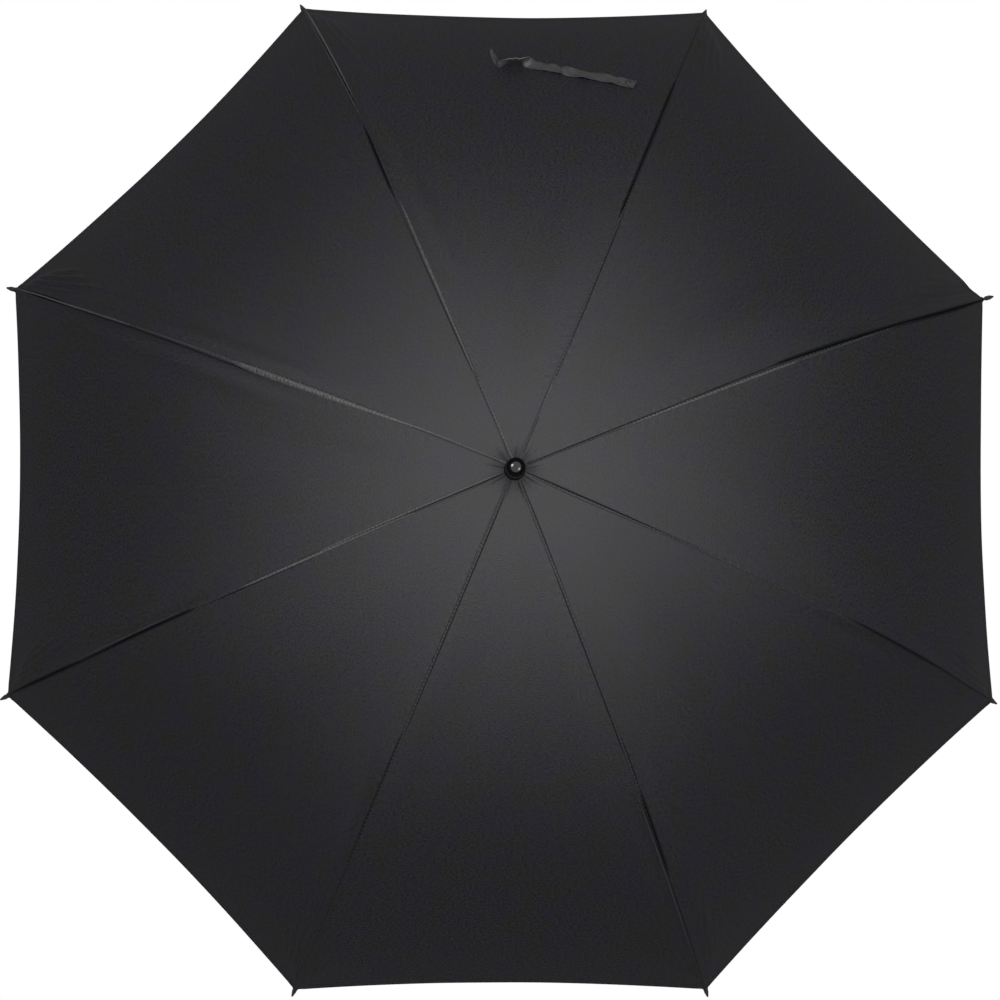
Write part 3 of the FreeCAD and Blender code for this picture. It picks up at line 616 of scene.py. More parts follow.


# each rib's seam; its first band is the seam itself, and the stitching follows that; the other bands are
# painted highlights and painted shade laid over the cloth beside it
SEAMS = {
    1: [
        Band("seam", (12, 0.2, 1.2), (150, 0.6, 1.5), (330, 1.5, 1.7), (480, 0.6, 1.6), (560, -0.8, 1.5),
             (640, -0.6, 1.2)),
        Band("slot", (16, 0.9, 0.5), (90, 1.1, 0.6), (180, 1.8, 0.5), (235, 2.2, 0)),
        Band("shade", (180, 2.3, 0), (250, 3.5, 0.4), (320, 4.8, 0.4), (335, 5.0, 0)),
        Band("highlight", (120, -0.6, 0), (170, -0.5, 1.3), (290, -0.3, 1.7), (340, -0.4, 1.2),
             (370, -0.6, 0)),
        Band("faint_highlight", (330, -0.4, 0), (365, -0.5, 1.3), (440, -0.8, 1.2), (500, -1.2, 0)),
        Band("slot", (322, 5.0, 0), (340, 4.9, 1.0), (370, 4.2, 1.6), (400, 3.5, 1.8), (450, 2.3, 1.9),
             (500, 1.1, 1.4), (530, -0.5, 1.7), (570, -1.7, 2.1), (600, -1.9, 1.6), (629, -1.2, 0.5)),
    ],
    2: [
        Band("seam", (12, -1.0, 1.3), (110, -1.2, 1.6), (200, -1.6, 1.3), (330, -0.5, 1.3),
             (420, 0.8, 1.4), (640, 0, 1.2)),
        Band("faint_highlight", (14, -0.4, 0.6), (55, -0.9, 0.8), (110, -1.0, 0.8), (130, -1.0, 0)),
        Band("highlight", (50, -2.0, 0), (80, -2.1, 0.7), (108, -2.1, 0.7), (130, -2.1, 0)),
        Band("shade", (150, -3, 0), (200, -3, 0.5), (300, -2.4, 0.6), (345, -1.2, 0)),
        Band("slot", (318, 0.9, 0), (330, 0.9, 1.0), (400, 1.2, 1.3), (500, 1.3, 1.1), (535, 1.0, 0)),
        Band("shade", (505, 1.2, 0), (535, 0.9, 1.1), (600, 0.6, 0.9), (638, 0.2, 0.5)),
    ],
    3: [
        Band("seam", (12, -1.6, 1.3), (120, -1.0, 1.4), (300, -1.2, 1.4), (440, -2.0, 1.3),
             (500, -1.0, 1.3), (640, 0, 1.2)),
        Band("highlight", (12, -2.6, 1.0), (60, -2.6, 0.9), (104, -2.0, 0.6), (118, -1.6, 0)),
        Band("shade", (40, -0.9, 0), (60, -0.8, 0.5), (110, -0.4, 0.5), (130, 0, 0)),
        Band("shade", (120, 1.2, 0), (160, 1.6, 0.4), (250, 2.4, 0.4), (345, 2.3, 0)),
        Band("highlight", (110, -1.0, 0), (130, -0.9, 1.1), (250, -1.1, 1.6), (320, -1.9, 1.2),
             (345, -2.2, 0)),
        Band("slot", (342, 1.9, 0), (362, 1.6, 0.7), (400, 0.4, 1.2), (430, -0.7, 0.9), (452, -1.3, 0)),
        Band("faint_highlight", (440, -2.6, 0), (480, -1.4, 1.0), (560, 0.2, 1.0), (634, 0.8, 0.8)),
        Band("highlight", (490, -4.6, 0), (520, -4.2, 0.9), (580, -3.2, 1.3), (620, -2.2, 1.5),
             (637, -1.6, 0.6)),
        Band("slot", (470, -3.0, 0), (500, -2.5, 0.6), (560, -1.3, 0.7), (610, -0.5, 0.5), (634, 0, 0)),
    ],
    4: [
        Band("seam", (12, -3.0, 1.3), (110, -2.6, 1.4), (250, -1.4, 1.4), (400, 0.8, 1.4),
             (560, 0.6, 1.4), (640, -0.4, 1.2)),
        Band("highlight", (12, -3.2, 0.9), (70, -3.5, 0.8), (110, -3.2, 1.2), (150, -1.6, 2.1),
             (220, 0.6, 3.4), (300, 1.8, 3.9), (322, 2.0, 3.7), (334, 2.0, 2.6), (350, 1.9, 0)),
        Band("faint_highlight", (322, 2.0, 0), (345, 1.9, 2.6), (370, 1.6, 2.3), (400, 1.4, 1.7), (450, 1.3, 1.3),
             (480, 1.4, 0)),
        Band("shade", (300, 5.9, 0), (330, 5.4, 0.5), (400, 4.4, 0.5), (430, 4.1, 0.6), (540, 3.0, 0.6),
             (560, 2.7, 0)),
        Band("slot", (545, 2.6, 0), (575, 1.9, 0.7), (600, 1.0, 0.8), (624, 0.1, 0)),
        Band("highlight", (455, 1.3, 0), (485, 1.2, 1.0), (560, 0.9, 1.0), (600, -0.5, 1.2), (630, -1.1, 0.8),
             (638, -1.2, 0)),
        Band("slot", (555, -1.0, 0), (585, -1.8, 0.6), (615, -2.5, 0.4), (630, -2.6, 0)),
    ],
    5: [
        Band("seam", (12, -1.8, 1.3), (120, -1.6, 1.5), (200, -0.6, 1.4), (330, 1.4, 1.4),
             (480, 1.2, 1.4), (540, 1.8, 1.3), (590, 0.6, 1.3), (640, 0, 1.2)),
        Band("highlight", (14, -2.2, 0.6), (60, -2.4, 1.0), (170, -1.9, 1.0), (225, -0.8, 0.7),
             (245, -0.3, 0)),
        Band("slot", (16, -0.6, 0.4), (60, -0.6, 0.4), (180, 0, 0.3), (215, 0.4, 0)),
        Band("faint_highlight", (14, 0.8, 0.6), (110, 0.9, 0.7), (130, 0.9, 0)),
        Band("highlight", (112, 0.9, 0), (135, 0.9, 0.8), (200, 1.3, 1.1), (250, 1.6, 1.6), (312, 1.7, 1.6),
             (332, 1.7, 0)),
        Band("shade", (240, 3.5, 0), (270, 3.5, 0.5), (350, 3.3, 0.5), (380, 2.6, 0)),
        Band("slot", (378, 1.6, 0), (395, 1.5, 0.9), (440, 1.2, 1.3), (480, 1.4, 1.3), (500, 1.9, 0.8),
             (530, 2.1, 0.6), (555, 1.4, 1.2), (595, 0.6, 1.3), (610, 0, 0.9), (636, -0.2, 0.4)),
        Band("faint_highlight", (395, -1.3, 0), (430, -1.4, 0.8), (520, -1.2, 0.8), (550, -1.0, 0)),
    ],
    6: [
        Band("seam", (12, -0.6, 1.3), (110, -0.8, 1.5), (300, -0.6, 1.5), (500, -0.2, 1.4),
             (640, 0, 1.2)),
        Band("shade", (30, 1.0, 0), (60, 1.2, 0.5), (300, 1.0, 0.5), (330, 0.6, 0)),
        Band("faint_highlight", (12, -2.2, 0.8), (40, -2.5, 0.8), (110, -2.5, 0.8), (135, -2.5, 0)),
        Band("shade", (306, -1.2, 0), (330, -1.3, 1.7), (400, -0.8, 1.6), (450, -0.5, 1.3),
             (520, -0.3, 0.8), (600, -0.2, 0.6), (630, 0, 0)),
    ],
    7: [
        Band("seam", (12, 0.6, 1.4), (110, 0.4, 1.6), (320, 0.4, 1.3), (480, 0.2, 1.4), (640, 0, 1.2)),
        Band("shade", (14, 2.1, 0.4), (80, 2.2, 0.7), (110, 2.1, 0.4), (150, 2.0, 0)),
        Band("faint_highlight", (18, -0.2, 0), (60, -0.3, 0.9), (110, -0.4, 0.8), (132, -0.5, 0)),
        Band("shade", (110, -1.1, 0), (160, -1.2, 0.6), (320, -1.3, 0.6), (340, -1.2, 0)),
        Band("shade", (318, 2.0, 0), (332, 2.0, 1.1), (370, 1.6, 0.9), (390, 1.2, 0)),
        Band("slot", (374, 1.2, 0), (395, 0.9, 0.9), (440, 0.6, 1.0), (480, 0.1, 0.7), (495, -0.2, 0)),
        Band("shade", (475, 0, 0), (500, -0.3, 0.9), (600, -0.3, 0.7), (636, -0.1, 0.4)),
        Band("faint_highlight", (390, -3.4, 0), (430, -3.5, 0.9), (560, -3.2, 0.9), (600, -2.8, 0)),
    ],
    8: [
        Band("seam", (12, 1.2, 1.3), (120, 1.2, 1.4), (300, 2.6, 1.3), (420, 3.8, 1.3), (500, 2.6, 1.3),
             (590, 0.4, 1.2), (640, 0, 1.2)),
        Band("slot", (14, 2.2, 0.5), (60, 2.1, 0.6), (160, 2.3, 0.5), (220, 2.7, 0.3), (260, 2.9, 0)),
        Band("faint_highlight", (20, 3.9, 0), (50, 3.9, 0.7), (280, 3.9, 0.6), (320, 3.9, 0)),
        Band("faint_highlight", (40, -0.5, 0), (60, -0.5, 0.8), (110, -0.5, 0.7), (140, -0.5, 0)),
        Band("shade", (250, 2.9, 0), (300, 3.1, 0.4), (380, 3.9, 0.4), (410, 4.3, 0)),
        Band("slot", (405, 4.4, 0), (430, 4.1, 0.6), (470, 3.5, 0.9), (520, 2.7, 0.9), (560, 1.5, 0.6),
             (590, 0.3, 0.5), (636, -0.1, 0.3)),
    ],
}


def rib_line(rib, rho, y, extra):
    """Points of the cloth at small distances y across its rib."""
    above = cloth_points(rib, 1, rho, np.maximum(y, 0) / (ACROSS * rho), extra)
    below = cloth_points(rib, -1, rho, np.maximum(-y, 0) / (ACROSS * rho), extra)
    return np.where((y >= 0)[:, None], above, below)


def seam(rib, part, finishes):
    """The felled seam over a rib: its folded cloth, painted highlights on it, and strips of painted shade
    where a fold stands off.
    """
    corner = CORNER_R + CORNER_SHIFT[rib] - SEAM_INSETS[1]
    start, end = (CLOTH_HOLE_R + SEAM_INSETS[0], SPLIT_R) if part == "inner" else (SPLIT_R, corner)
    for number, band in enumerate(with_shade(SEAMS[rib]), 1):
        low, high = max(start, band.rho[0]), min(end, band.rho[-1])
        if high - low < 3 * BAND_STEP:
            continue
        rho = np.linspace(low, high, round((high - low) / BAND_STEP))
        y = np.stack([band.across(rho, share) for share in BAND_SHARES], axis=1)
        lifts = [CLOTH + band.height(rho, share) for share in BAND_SHARES]
        points = np.stack([rib_line(rib, rho, *edge) for edge in zip(y.T, lifts)], axis=1)
        uv = np.stack([y, np.broadcast_to(rho[:, None], y.shape)], axis=-1)
        name = f"rib_seam_{part}_{rib}_{number}"
        mesh = sheet_mesh(name, turned(points, rib), uv, CLOTH)
        add(name, mesh, rib_body(rib, part), finishes[band.look], node=f"canopy_{part}_{rib}")


def stitch_template():
    """One stitch along X with unit length and unit radius: three rings of six points and two ends."""
    ring_count, sides = 3, 6
    points = [(-0.5, 0, 0)]
    for k in range(ring_count):
        reach = 1.0 if k == 1 else 0.75
        for s in range(sides):
            angle = 2 * math.pi * s / sides
            points.append((-0.35 + 0.35 * k, reach * math.cos(angle), reach * math.sin(angle)))
    points.append((0.5, 0, 0))
    last = len(points) - 1
    faces = []
    for s in range(sides):
        after = (s + 1) % sides
        faces.append((0, 1 + after, 1 + s))
        faces.append((last, last - sides + s, last - sides + after))
        for k in range(ring_count - 1):
            low = 1 + k * sides
            faces.append((low + s, low + after, low + sides + after, low + sides + s))
    return np.array(points), faces


STITCH_POINTS, STITCH_FACES = stitch_template()


def distances(line):
    """How far along a line each of its points is."""
    steps = np.linalg.norm(np.diff(line, axis=0), axis=1)
    return np.concatenate([[0], np.cumsum(steps)])


def stitches_mesh(name, line, up, pitch=STITCH_PITCH):
    """Stitches along a line of points, one for each pitch of its length."""
    travel = distances(line)
    places = np.arange(pitch / 2, travel[-1], pitch)

    def at(values, shift=0.0):
        return np.stack([np.interp(places + shift, travel, column) for column in values.T], -1)

    along = unit(at(line, 0.5) - at(line, -0.5))
    aside = unit(np.cross(at(up), along))
    frames = np.stack([along * STITCH_LENGTH, aside * STITCH_R, np.cross(along, aside) * STITCH_R], 1)
    points = at(line)[:, None, :] + np.einsum("pk,nkd->npd", STITCH_POINTS, frames)
    faces = [
        [corner + len(STITCH_POINTS) * n for corner in face]
        for n in range(len(places)) for face in STITCH_FACES
    ]
    return mesh_of(name, points.reshape(-1, 3), faces)


def out_of_rib(rho):
    """The direction straight out of the cloth over a rib."""
    slope = cloth_slope(rho)
    return np.stack([np.sin(slope), np.zeros_like(slope), np.cos(slope)], -1)


def seam_stitches(rib, part, thread):
    """Two rows of stitches along a seam."""
    hole, corner = CLOTH_HOLE_R + STITCHES_INSET, CORNER_R - STITCHES_INSET
    start, end = (hole, SPLIT_R) if part == "inner" else (SPLIT_R, corner)
    rho = np.linspace(start, end, 200)
    name = f"seam_stitches_{part}_{rib}"
    up = turned(out_of_rib(rho), rib)
    rows = []
    for share in SEAM_ROWS:
        height = 1.5 * CLOTH + 0.1 + 0.65 * SEAM_RISE
        line = rib_line(rib, rho, SEAMS[rib][0].across(rho, share), height)
        rows.append(stitches_mesh(name, turned(line, rib), up))
    add(name, joined(name, rows), rib_body(rib, part), thread)


def hem_stitches(rib, side, thread):
    """The row of stitches that holds the folded hem."""
    t = np.linspace(0.02, 1, 160)
    rho = hem_radius(rib, side, t) - HEM_STITCH_INSET
    line = turned(cloth_points(rib, side, rho, t, CLOTH / 2 - 0.1), rib)
    name = f"hem_stitches_{rib}_{side_name(side)}"
    mesh = stitches_mesh(name, line, turned(out_of_rib(rho), rib))
    fold_up(add(name, mesh, f"rib_end_{rib}", thread))


# ---- thread at the corners and ribs

LASHING_TURNS = 5
LASHING_PITCH = 0.75
LASHING_INSET = 3.0          # from the canopy's corner
TIE_RUNS = {"inner": (150, 260, 335), "outer": (415, 500, 580)}
TIE_TURNS = 3
TIE_PITCH = 0.8
TIE_BELOW = 2.25
THREAD_R = 0.33


def winding(name, rib, part, x, turns, pitch, half_width, above, below):
    """Thread wound round a rib: a helix that stands wider above the rib, where it passes over the cloth."""
    arc = ARCS[part]
    along, out = directions(float(arc.slope(x)))
    middle = np.array([x, 0, float(arc.height(x, 0))])
    angles = np.linspace(0, 2 * math.pi * turns, 20 * turns + 1)
    rise = np.where(np.sin(angles) > 0, above, below) * np.sin(angles)
    travel = pitch * (angles / (2 * math.pi) - turns / 2)
    side = np.cos(angles) * half_width
    path = middle + travel[:, None] * along + rise[:, None] * out + side[:, None] * np.array([0, 1, 0])
    return tube_mesh(name, turned(path, rib), THREAD_R, turned(along, rib))


def corner_lashing(rib, thread):
    """The thread that sews the canopy's corner to the tip cap."""
    name = f"corner_lashing_{rib}"
    x = CORNER_R + CORNER_SHIFT[rib] - LASHING_INSET
    mesh = winding(name, rib, "outer", x, LASHING_TURNS, LASHING_PITCH,
                   TIP_CAP_R + 0.5, CLOTH_LIFT + 0.5, TIP_CAP_R + 0.2)
    add(name, mesh, f"rib_end_{rib}", thread)


def rib_ties(rib, part, thread):
    """Short loops of thread that hold the seam to the rib."""
    name = f"rib_ties_{part}_{rib}"
    size = (TIE_TURNS, TIE_PITCH, TIE_BELOW + 0.05, CLOTH_LIFT - 0.1, TIE_BELOW)
    loops = [winding(name, rib, part, x, *size) for x in TIE_RUNS[part]]
    add(name, joined(name, loops), rib_body(rib, part), thread)


# ---- tie strap

# plan x and y, height over the cloth, half width, and roll about its own length in degrees
STRAP_ROUTE = (
    (-19.0, 527.0, 0.8, 2.2, 0),
    (-17.0, 517.0, 1.6, 3.0, 20),
    (-14.0, 507.5, 2.8, 3.6, 50),
    (-10.5, 500.5, 3.8, 4.4, 82),
    (-4.0, 502.6, 4.8, 5.4, 104),
    (2.0, 504.8, 6.2, 6.2, 128),
    (8.0, 506.0, 7.2, 7.0, 140),
    (14.0, 505.4, 6.8, 7.4, 138),
    (19.0, 504.8, 5.6, 7.8, 108),
    (24.0, 504.2, 3.6, 7.9, 44),
    (32.0, 503.2, 2.0, 7.8, 4),
    (42.0, 501.4, 1.6, 7.8, -5),
    (53.0, 499.2, 1.8, 7.7, -2),
    (62.0, 497.0, 1.7, 7.6, -8),
    (67.5, 495.2, 3.2, 7.4, 6),
    (72.5, 493.4, 1.7, 7.6, 12),
    (84.0, 490.8, 1.5, 7.7, -5),
    (97.0, 487.6, 2.3, 7.6, -9),
    (110.0, 484.2, 1.7, 7.5, 4),
    (122.0, 481.0, 2.0, 7.5, -6),
    (133.0, 477.8, 1.6, 7.5, 0),
    (149.0, 473.4, 1.8, 7.3, 2),
)
STRAP_RIB = 2
STRAP_BODY = f"rib_end_{STRAP_RIB}"
STRAP_THICKNESS = 1.1
STRAP_STEPS = 10             # between two points of its route
STRAP_COLUMNS = 13
STRAP_WEAVE_HALF = 6.5       # half width of the weave's pattern
STRAP_CRUMPLE = 0.5
STRAP_PATCH = 20.0           # stitched end patch
STRAP_STITCH_PITCH = 2.6
STRAP_STITCH_SHARE = 0.78    # of the half width, out to a row of stitches
SNAP_INSET = 9.0


def over_cloth(x, y, height):
    """A point over the canopy at x and y in plan, on the panel after the strap's rib."""
    rib, side = (STRAP_RIB, 1) if x > 0 else (STRAP_RIB + 1, -1)
    c, s = math.cos(rib_turn(rib)), math.sin(rib_turn(rib))
    across = abs(y * c - x * s)
    rho = x * c + y * s + across * math.tan(HALF_STEP)
    point = cloth_points(rib, side, np.array([rho]), np.array([across / (ACROSS * rho)]), height)
    return turned(point, rib)[0]


def strap_frames():
    """Centres, widthways directions and half widths along the strap, on a smooth curve through its route."""
    route = np.array(STRAP_ROUTE, float)
    ends = np.vstack([2 * route[0] - route[1], route, 2 * route[-1] - route[-2]])
    rows = []
    for a, b, c, d in zip(ends, ends[1:], ends[2:], ends[3:]):
        for u in np.arange(0, 1, 1 / STRAP_STEPS):
            rows.append(0.5 * (2 * b + (c - a) * u + (2 * a - 5 * b + 4 * c - d) * u * u
                               + (3 * b - a - 3 * c + d) * u ** 3))
    rows.append(route[-1])
    x, y, height, half, roll = np.array(rows).T
    centres = np.array([over_cloth(*point) for point in zip(x, y, height)])
    nudged = np.array([over_cloth(*point) for point in zip(x, y, height + 1)])
    along = unit(np.gradient(centres, axis=0))
    aside = unit(np.cross(nudged - centres, along))
    up = np.cross(along, aside)
    roll = np.radians(roll)[:, None]
    return centres, np.cos(roll) * aside + np.sin(roll) * up, half


def strap_crumple(count, shares):
    """Small uneven buckles out of the strap's face, at each station and each share of the half width."""
    travel = np.arange(count)[:, None] * 0.9
    broad = np.sin(travel / 3.1 + 1.4 * shares) * np.sin(travel / 8.3 - 2 * shares)
    fine = 0.5 * np.sin(travel / 1.9 + shares)
    return STRAP_CRUMPLE * (broad + fine)


def strap_stitches(centres, widthways, up, half, travel):
    """A row of stitches along each edge, two rows across the sewn patch and one at the free end."""
    face = up * (STRAP_THICKNESS / 2 + 0.03)
    edge = STRAP_STITCH_SHARE
    lines = [(centres + widthways * (half * share)[:, None] + face, up) for share in (-edge, edge)]
    for inset in (STRAP_PATCH, STRAP_PATCH - 1.6, 2.5):
        at = int(np.argmin(abs(travel[-1] - travel - inset)))
        reach = np.linspace(-edge, edge, 12)[:, None] * half[at]
        lines.append((centres[at] + reach * widthways[at] + face[at], np.repeat(up[at][None], 12, axis=0)))
    rows = [stitches_mesh("strap_stitches", *line, STRAP_STITCH_PITCH) for line in lines]
    return joined("strap_stitches", rows)


def tie_strap(cloth, back, thread):
    """The tie strap, lying twisted on the canopy; its back face gets a darker cloth, painted shade where it
    is turned over.
    """
    centres, widthways, half = strap_frames()
    up = unit(np.cross(np.gradient(centres, axis=0), widthways))
    travel = distances(centres)
    shares = np.linspace(-1, 1, STRAP_COLUMNS)
    points = centres[:, None] + shares[None, :, None] * half[:, None, None] * widthways[:, None]
    points = points + strap_crumple(len(centres), shares)[..., None] * up[:, None]
    uv = np.stack(np.broadcast_arrays(shares[None] * STRAP_WEAVE_HALF, travel[:, None]), axis=-1)
    mesh = sheet_mesh("strap_ribbon", points, uv, STRAP_THICKNESS, True)
    strap = add("strap_ribbon", mesh, STRAP_BODY, cloth, node="tie_strap")
    # the back face's darker cloth is painted shade where the strap turns over
    mesh.materials.append(back)
    for face in mesh.polygons[:(len(centres) - 1) * (STRAP_COLUMNS - 1)]:
        face.material_index = 1
    rows = strap_stitches(centres, widthways, up, half, travel)
    stitching = add("strap_stitches", rows, STRAP_BODY, thread)
    for piece in (strap, stitching):
        fold_up(piece)
    return centres, up


# the press stud from its foot to its top, as (radius, height)
STUD_PROFILE = ((0.05, 0), (3.8, 0), (3.6, 0.7), (2.4, 1.0), (1.8, 1.5), (0.05, 1.6))
STUD_ROUNDING = 0.35


def strap_snap(centres, up, material):
    """The press stud near the strap's free end."""
    back = np.linalg.norm(centres - centres[-1], axis=1)
    at = int(np.argmin(abs(back - SNAP_INSET)))
    mesh = lathe_mesh("strap_snap", rounded(STUD_PROFILE, STUD_ROUNDING), 40)
    tilt = Vector((0, 0, 1)).rotation_difference(Vector(up[at])).to_matrix().to_4x4()
    middle = Vector((centres[at] + up[at] * STRAP_THICKNESS / 2) * MM)
    mesh.transform(Matrix.Translation(middle) @ tilt)
    piece = add("strap_snap", mesh, STRAP_BODY, material, "strap_stud")
    fold_up(piece)


# ---- ferrule and handle

def heights(node):
    """Of a frame piece's bottom and top."""
    low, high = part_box(node)
    return low.z / MM, high.z / MM


def widest(node):
    """Half of a frame piece's width along X."""
    low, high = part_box(node)
    return (high.x - low.x) / 2 / MM


FERRULE_GROOVES = (5.0, 6.6)
TIP_R = 6.0
SHAFT_R = 7.0


def lathed(name, profile, node, material, segments=96):
    """A turned piece round the shaft's axis."""
    return add(name, lathe_mesh(name, profile, segments), "shaft", material, node)


def ferrule_sleeve(material):
    """The moulded ferrule: a foot ring, two fine grooves and a rolled top that holds the metal stud."""
    low, high = heights("ferrule_cap")
    foot, neck = widest("ferrule_cap"), widest("ferrule_cap") - 1.2
    corners = [(SHAFT_R + 0.1, low), (foot, low), (foot, low + 3.2), (foot - 0.7, low + 4)]
    for groove in FERRULE_GROOVES:
        side = foot - 0.7 - 0.02 * groove
        corners += [(side, low + groove - 0.3), (side - 0.45, low + groove)]
        corners += [(side - 0.45, low + groove + 0.35), (side - 0.02, low + groove + 0.65)]
    corners += [(neck, high - 1.8), (neck - 2.0, high), (TIP_R + 0.5, high)]
    corners += [(TIP_R + 0.05, high - 0.9), (TIP_R + 0.05, high - 7)]
    return lathed("ferrule_sleeve", rounded(corners, 1.9), "ferrule_cap", material)


def ferrule_stud(material):
    """The stud's polished dome, a little proud of the ferrule."""
    low, high = heights("ferrule_tip")
    rise = high - heights("ferrule_cap")[1]
    sphere_r = (TIP_R ** 2 + rise ** 2) / (2 * rise)
    limit = math.asin(TIP_R / sphere_r)
    dome = [
        (sphere_r * math.sin(angle), high - sphere_r * (1 - math.cos(angle)))
        for angle in np.linspace(limit, 0.002, 24)
    ]
    profile = [(TIP_R - 0.1, low), (TIP_R, low + 0.2), (TIP_R, dome[0][1] - 0.05)] + dome
    return lathed("ferrule_stud", profile, "ferrule_tip", material)


def handle(foam, moulded):
    """The foam grip with its end grooves, and the moulded collar and end cap."""
    low, high = heights("handle_grip")
    full, end = widest("handle_grip"), widest("handle_end_cap")
    corners = [(SHAFT_R + 0.1, low), (end, low), (end + 0.4, low + 1.5)]
    for height in (low + 9, low + 14):
        side = end + (full - end) * (height - low) / 20
        corners += [(side - 0.3, height - 1), (side - 0.9, height), (side, height + 1)]
    corners += [(full, low + 20), (full, low + 50), (full - 0.9, low + 75), (full, high - 50)]
    corners += [(full, high - 20), (end + 0.5, high - 1.5), (end, high), (SHAFT_R + 0.1, high)]
    lathed("foam_grip", rounded(corners, 5.0, 7), "handle_grip", foam, 128)
    low, high = heights("handle_collar")
    wide = widest("handle_collar")
    bore = SHAFT_R + 0.05
    corners = [(bore, low), (wide, low), (wide, low + 4), (SHAFT_R + 2, high), (bore, high)]
    lathed("grip_collar", rounded(corners, 1.2), "handle_collar", moulded)
    low, high = heights("handle_end_cap")
    seat = heights("handle_grip")[0]
    corners = [(0.05, low + 0.6), (8.0, low + 0.6), (8.6, low), (end, low), (end, low + 5.0)]
    corners += [(end - 0.4, low + 5.5), (end, low + 6), (end, seat), (SHAFT_R, seat), (SHAFT_R - 0.6, high)]
    lathed("grip_end_cap", rounded(corners, 1.4), "handle_end_cap", moulded)


# ---- materials

class Finish:
    """A material's shader with short calls for the nodes that the finishes share."""

    def __init__(self, name, **sockets):
        self.material = bpy.data.materials.new(name)
        self.material.use_nodes = True
        self.tree = self.material.node_tree
        self.place = self.node("TexCoord", {}, "Object")
        self.shade(**sockets)

    def feed(self, node, inputs):
        """Links or sets a node's sockets, by name or number."""
        for socket, value in inputs.items():
            if isinstance(value, bpy.types.NodeSocket):
                self.tree.links.new(value, node.inputs[socket])
            else:
                node.inputs[socket].default_value = value

    def shade(self, **sockets):
        """Links or sets the shader's own sockets."""
        inputs = {socket.replace("_", " "): value for socket, value in sockets.items()}
        self.feed(self.tree.nodes["Principled BSDF"], inputs)

    def node(self, kind, inputs, output=0, **settings):
        """The output of a new node with these inputs."""
        made = self.tree.nodes.new("ShaderNode" + kind)
        for name, value in settings.items():
            setattr(made, name, value)
        self.feed(made, inputs)
        return made.outputs[output]

    def noise(self, scale, detail=3.0, roughness=0.55, vector=None):
        """Noise over object coordinates, which are metres in the row frame, or over others."""
        inputs = {"Vector": vector or self.place, "Scale": scale, "Detail": detail, "Roughness": roughness}
        return self.node("TexNoise", inputs, "Fac")

    def math(self, operation, first, second=0.0):
        return self.node("Math", {0: first, 1: second}, operation=operation)

    def sharpen(self, factor, low, high):
        """The factor's range between two values, stretched to 0 and 1."""
        return self.node("MapRange", {"Value": factor, "From Min": low, "From Max": high})

    def spread(self, factor, low, high):
        """The factor, from 0 to 1, taken to lie between two values."""
        return self.node("MapRange", {"Value": factor, "To Min": low, "To Max": high})

    def tint(self, factor, dark, light):
        """A colour between two, by the Mix node's colour sockets."""
        ends = [(*end, 1) if isinstance(end, tuple) else end for end in (dark, light)]
        return self.node("Mix", {0: factor, 6: ends[0], 7: ends[1]}, 2, data_type="RGBA")

    def bump(self, height, distance, strength, under=None):
        inputs = {"Height": height, "Distance": distance, "Strength": strength}
        if under:
            inputs["Normal"] = under
        return self.node("Bump", inputs, "Normal")

    def dress(self, factor, colours, roughness, relief, *bump):
        """The material: one factor spreads its colour and roughness, and the relief lifts its surface."""
        self.shade(Base_Color=self.tint(factor, *colours), Normal=self.bump(relief, *bump))
        if roughness:
            self.shade(Roughness=self.spread(factor, *roughness))
        return self.material


THREAD_PITCH = 0.00042       # of the weave, in metres
WEAVE_DEPTH = 0.00004
SLUB_DEPTH = 0.00016
SLUB_STRETCH = (1.0, 2.2, 1.0)
SLUBS = (330.0, 3.0, 0.8)    # scale, detail and roughness of their noise
MOTTLE = (30.0, 7.0, 0.7)    # and of the coating's
OLIVE_SHIFT = (0.001, 0.001, -0.008)
BLUISH_SHIFT = (-0.001, -0.002, 0.012)


def shifted(colour, shift, share):
    """A colour moved by a share of a shift."""
    return tuple(channel + step * share for channel, step in zip(colour, shift))


def cloth_finish(name, dark, light, roughness, gloss=0.5, mottling=0.0):
    """Fine black polyester: plain weave, slubs along the weft and a slightly mottled coating."""
    finish = Finish(name, Specular_IOR_Level=gloss, Sheen_Weight=0.04 * gloss, Sheen_Roughness=0.5)
    threads = finish.node("UVMap", {}, uv_map="threads")
    warp, weft = (
        finish.math("SINE", finish.math("MULTIPLY", place, 2 * math.pi / THREAD_PITCH))
        for place in (finish.node("SeparateXYZ", {0: threads}, axis) for axis in (0, 1))
    )
    stretched = finish.node("VectorMath", {0: threads, 1: SLUB_STRETCH}, operation="MULTIPLY")
    slubs = finish.sharpen(finish.noise(*SLUBS, stretched), 0.38, 0.62)
    mottle = finish.sharpen(finish.noise(*MOTTLE), 0.40, 0.60)
    light = finish.tint(mottle, *(shifted(light, shift, mottling) for shift in (OLIVE_SHIFT, BLUISH_SHIFT)))
    weave = finish.bump(finish.math("MULTIPLY", warp, weft), WEAVE_DEPTH, 0.5)
    return finish.dress(slubs, (dark, light), (roughness - 0.06, roughness + 0.06),
                        slubs, SLUB_DEPTH, 0.6, weave)


def thread_finish():
    """Twisted polyester thread, matte."""
    finish = Finish("sewing_thread", Roughness=0.75, Specular_IOR_Level=0.25)
    twist = finish.noise(2500.0, 1.0)
    return finish.dress(twist, ((0.012, 0.012, 0.014), (0.04, 0.04, 0.044)), None,
                        twist, 0.0002, 0.6)


def moulded_finish(name, colour, roughness, grain_size=0.0006):
    """Moulded black plastic with a fine spark-eroded grain and faint scuffs."""
    finish = Finish(name)
    grain = finish.noise(1 / grain_size, 2.0)
    scuffs = finish.noise(90.0, 6.0, 0.7)
    lighter = tuple(1.6 * channel + 0.004 for channel in colour)
    return finish.dress(scuffs, (colour, lighter), (roughness - 0.07, roughness + 0.1),
                        grain, 0.00006, 0.4)


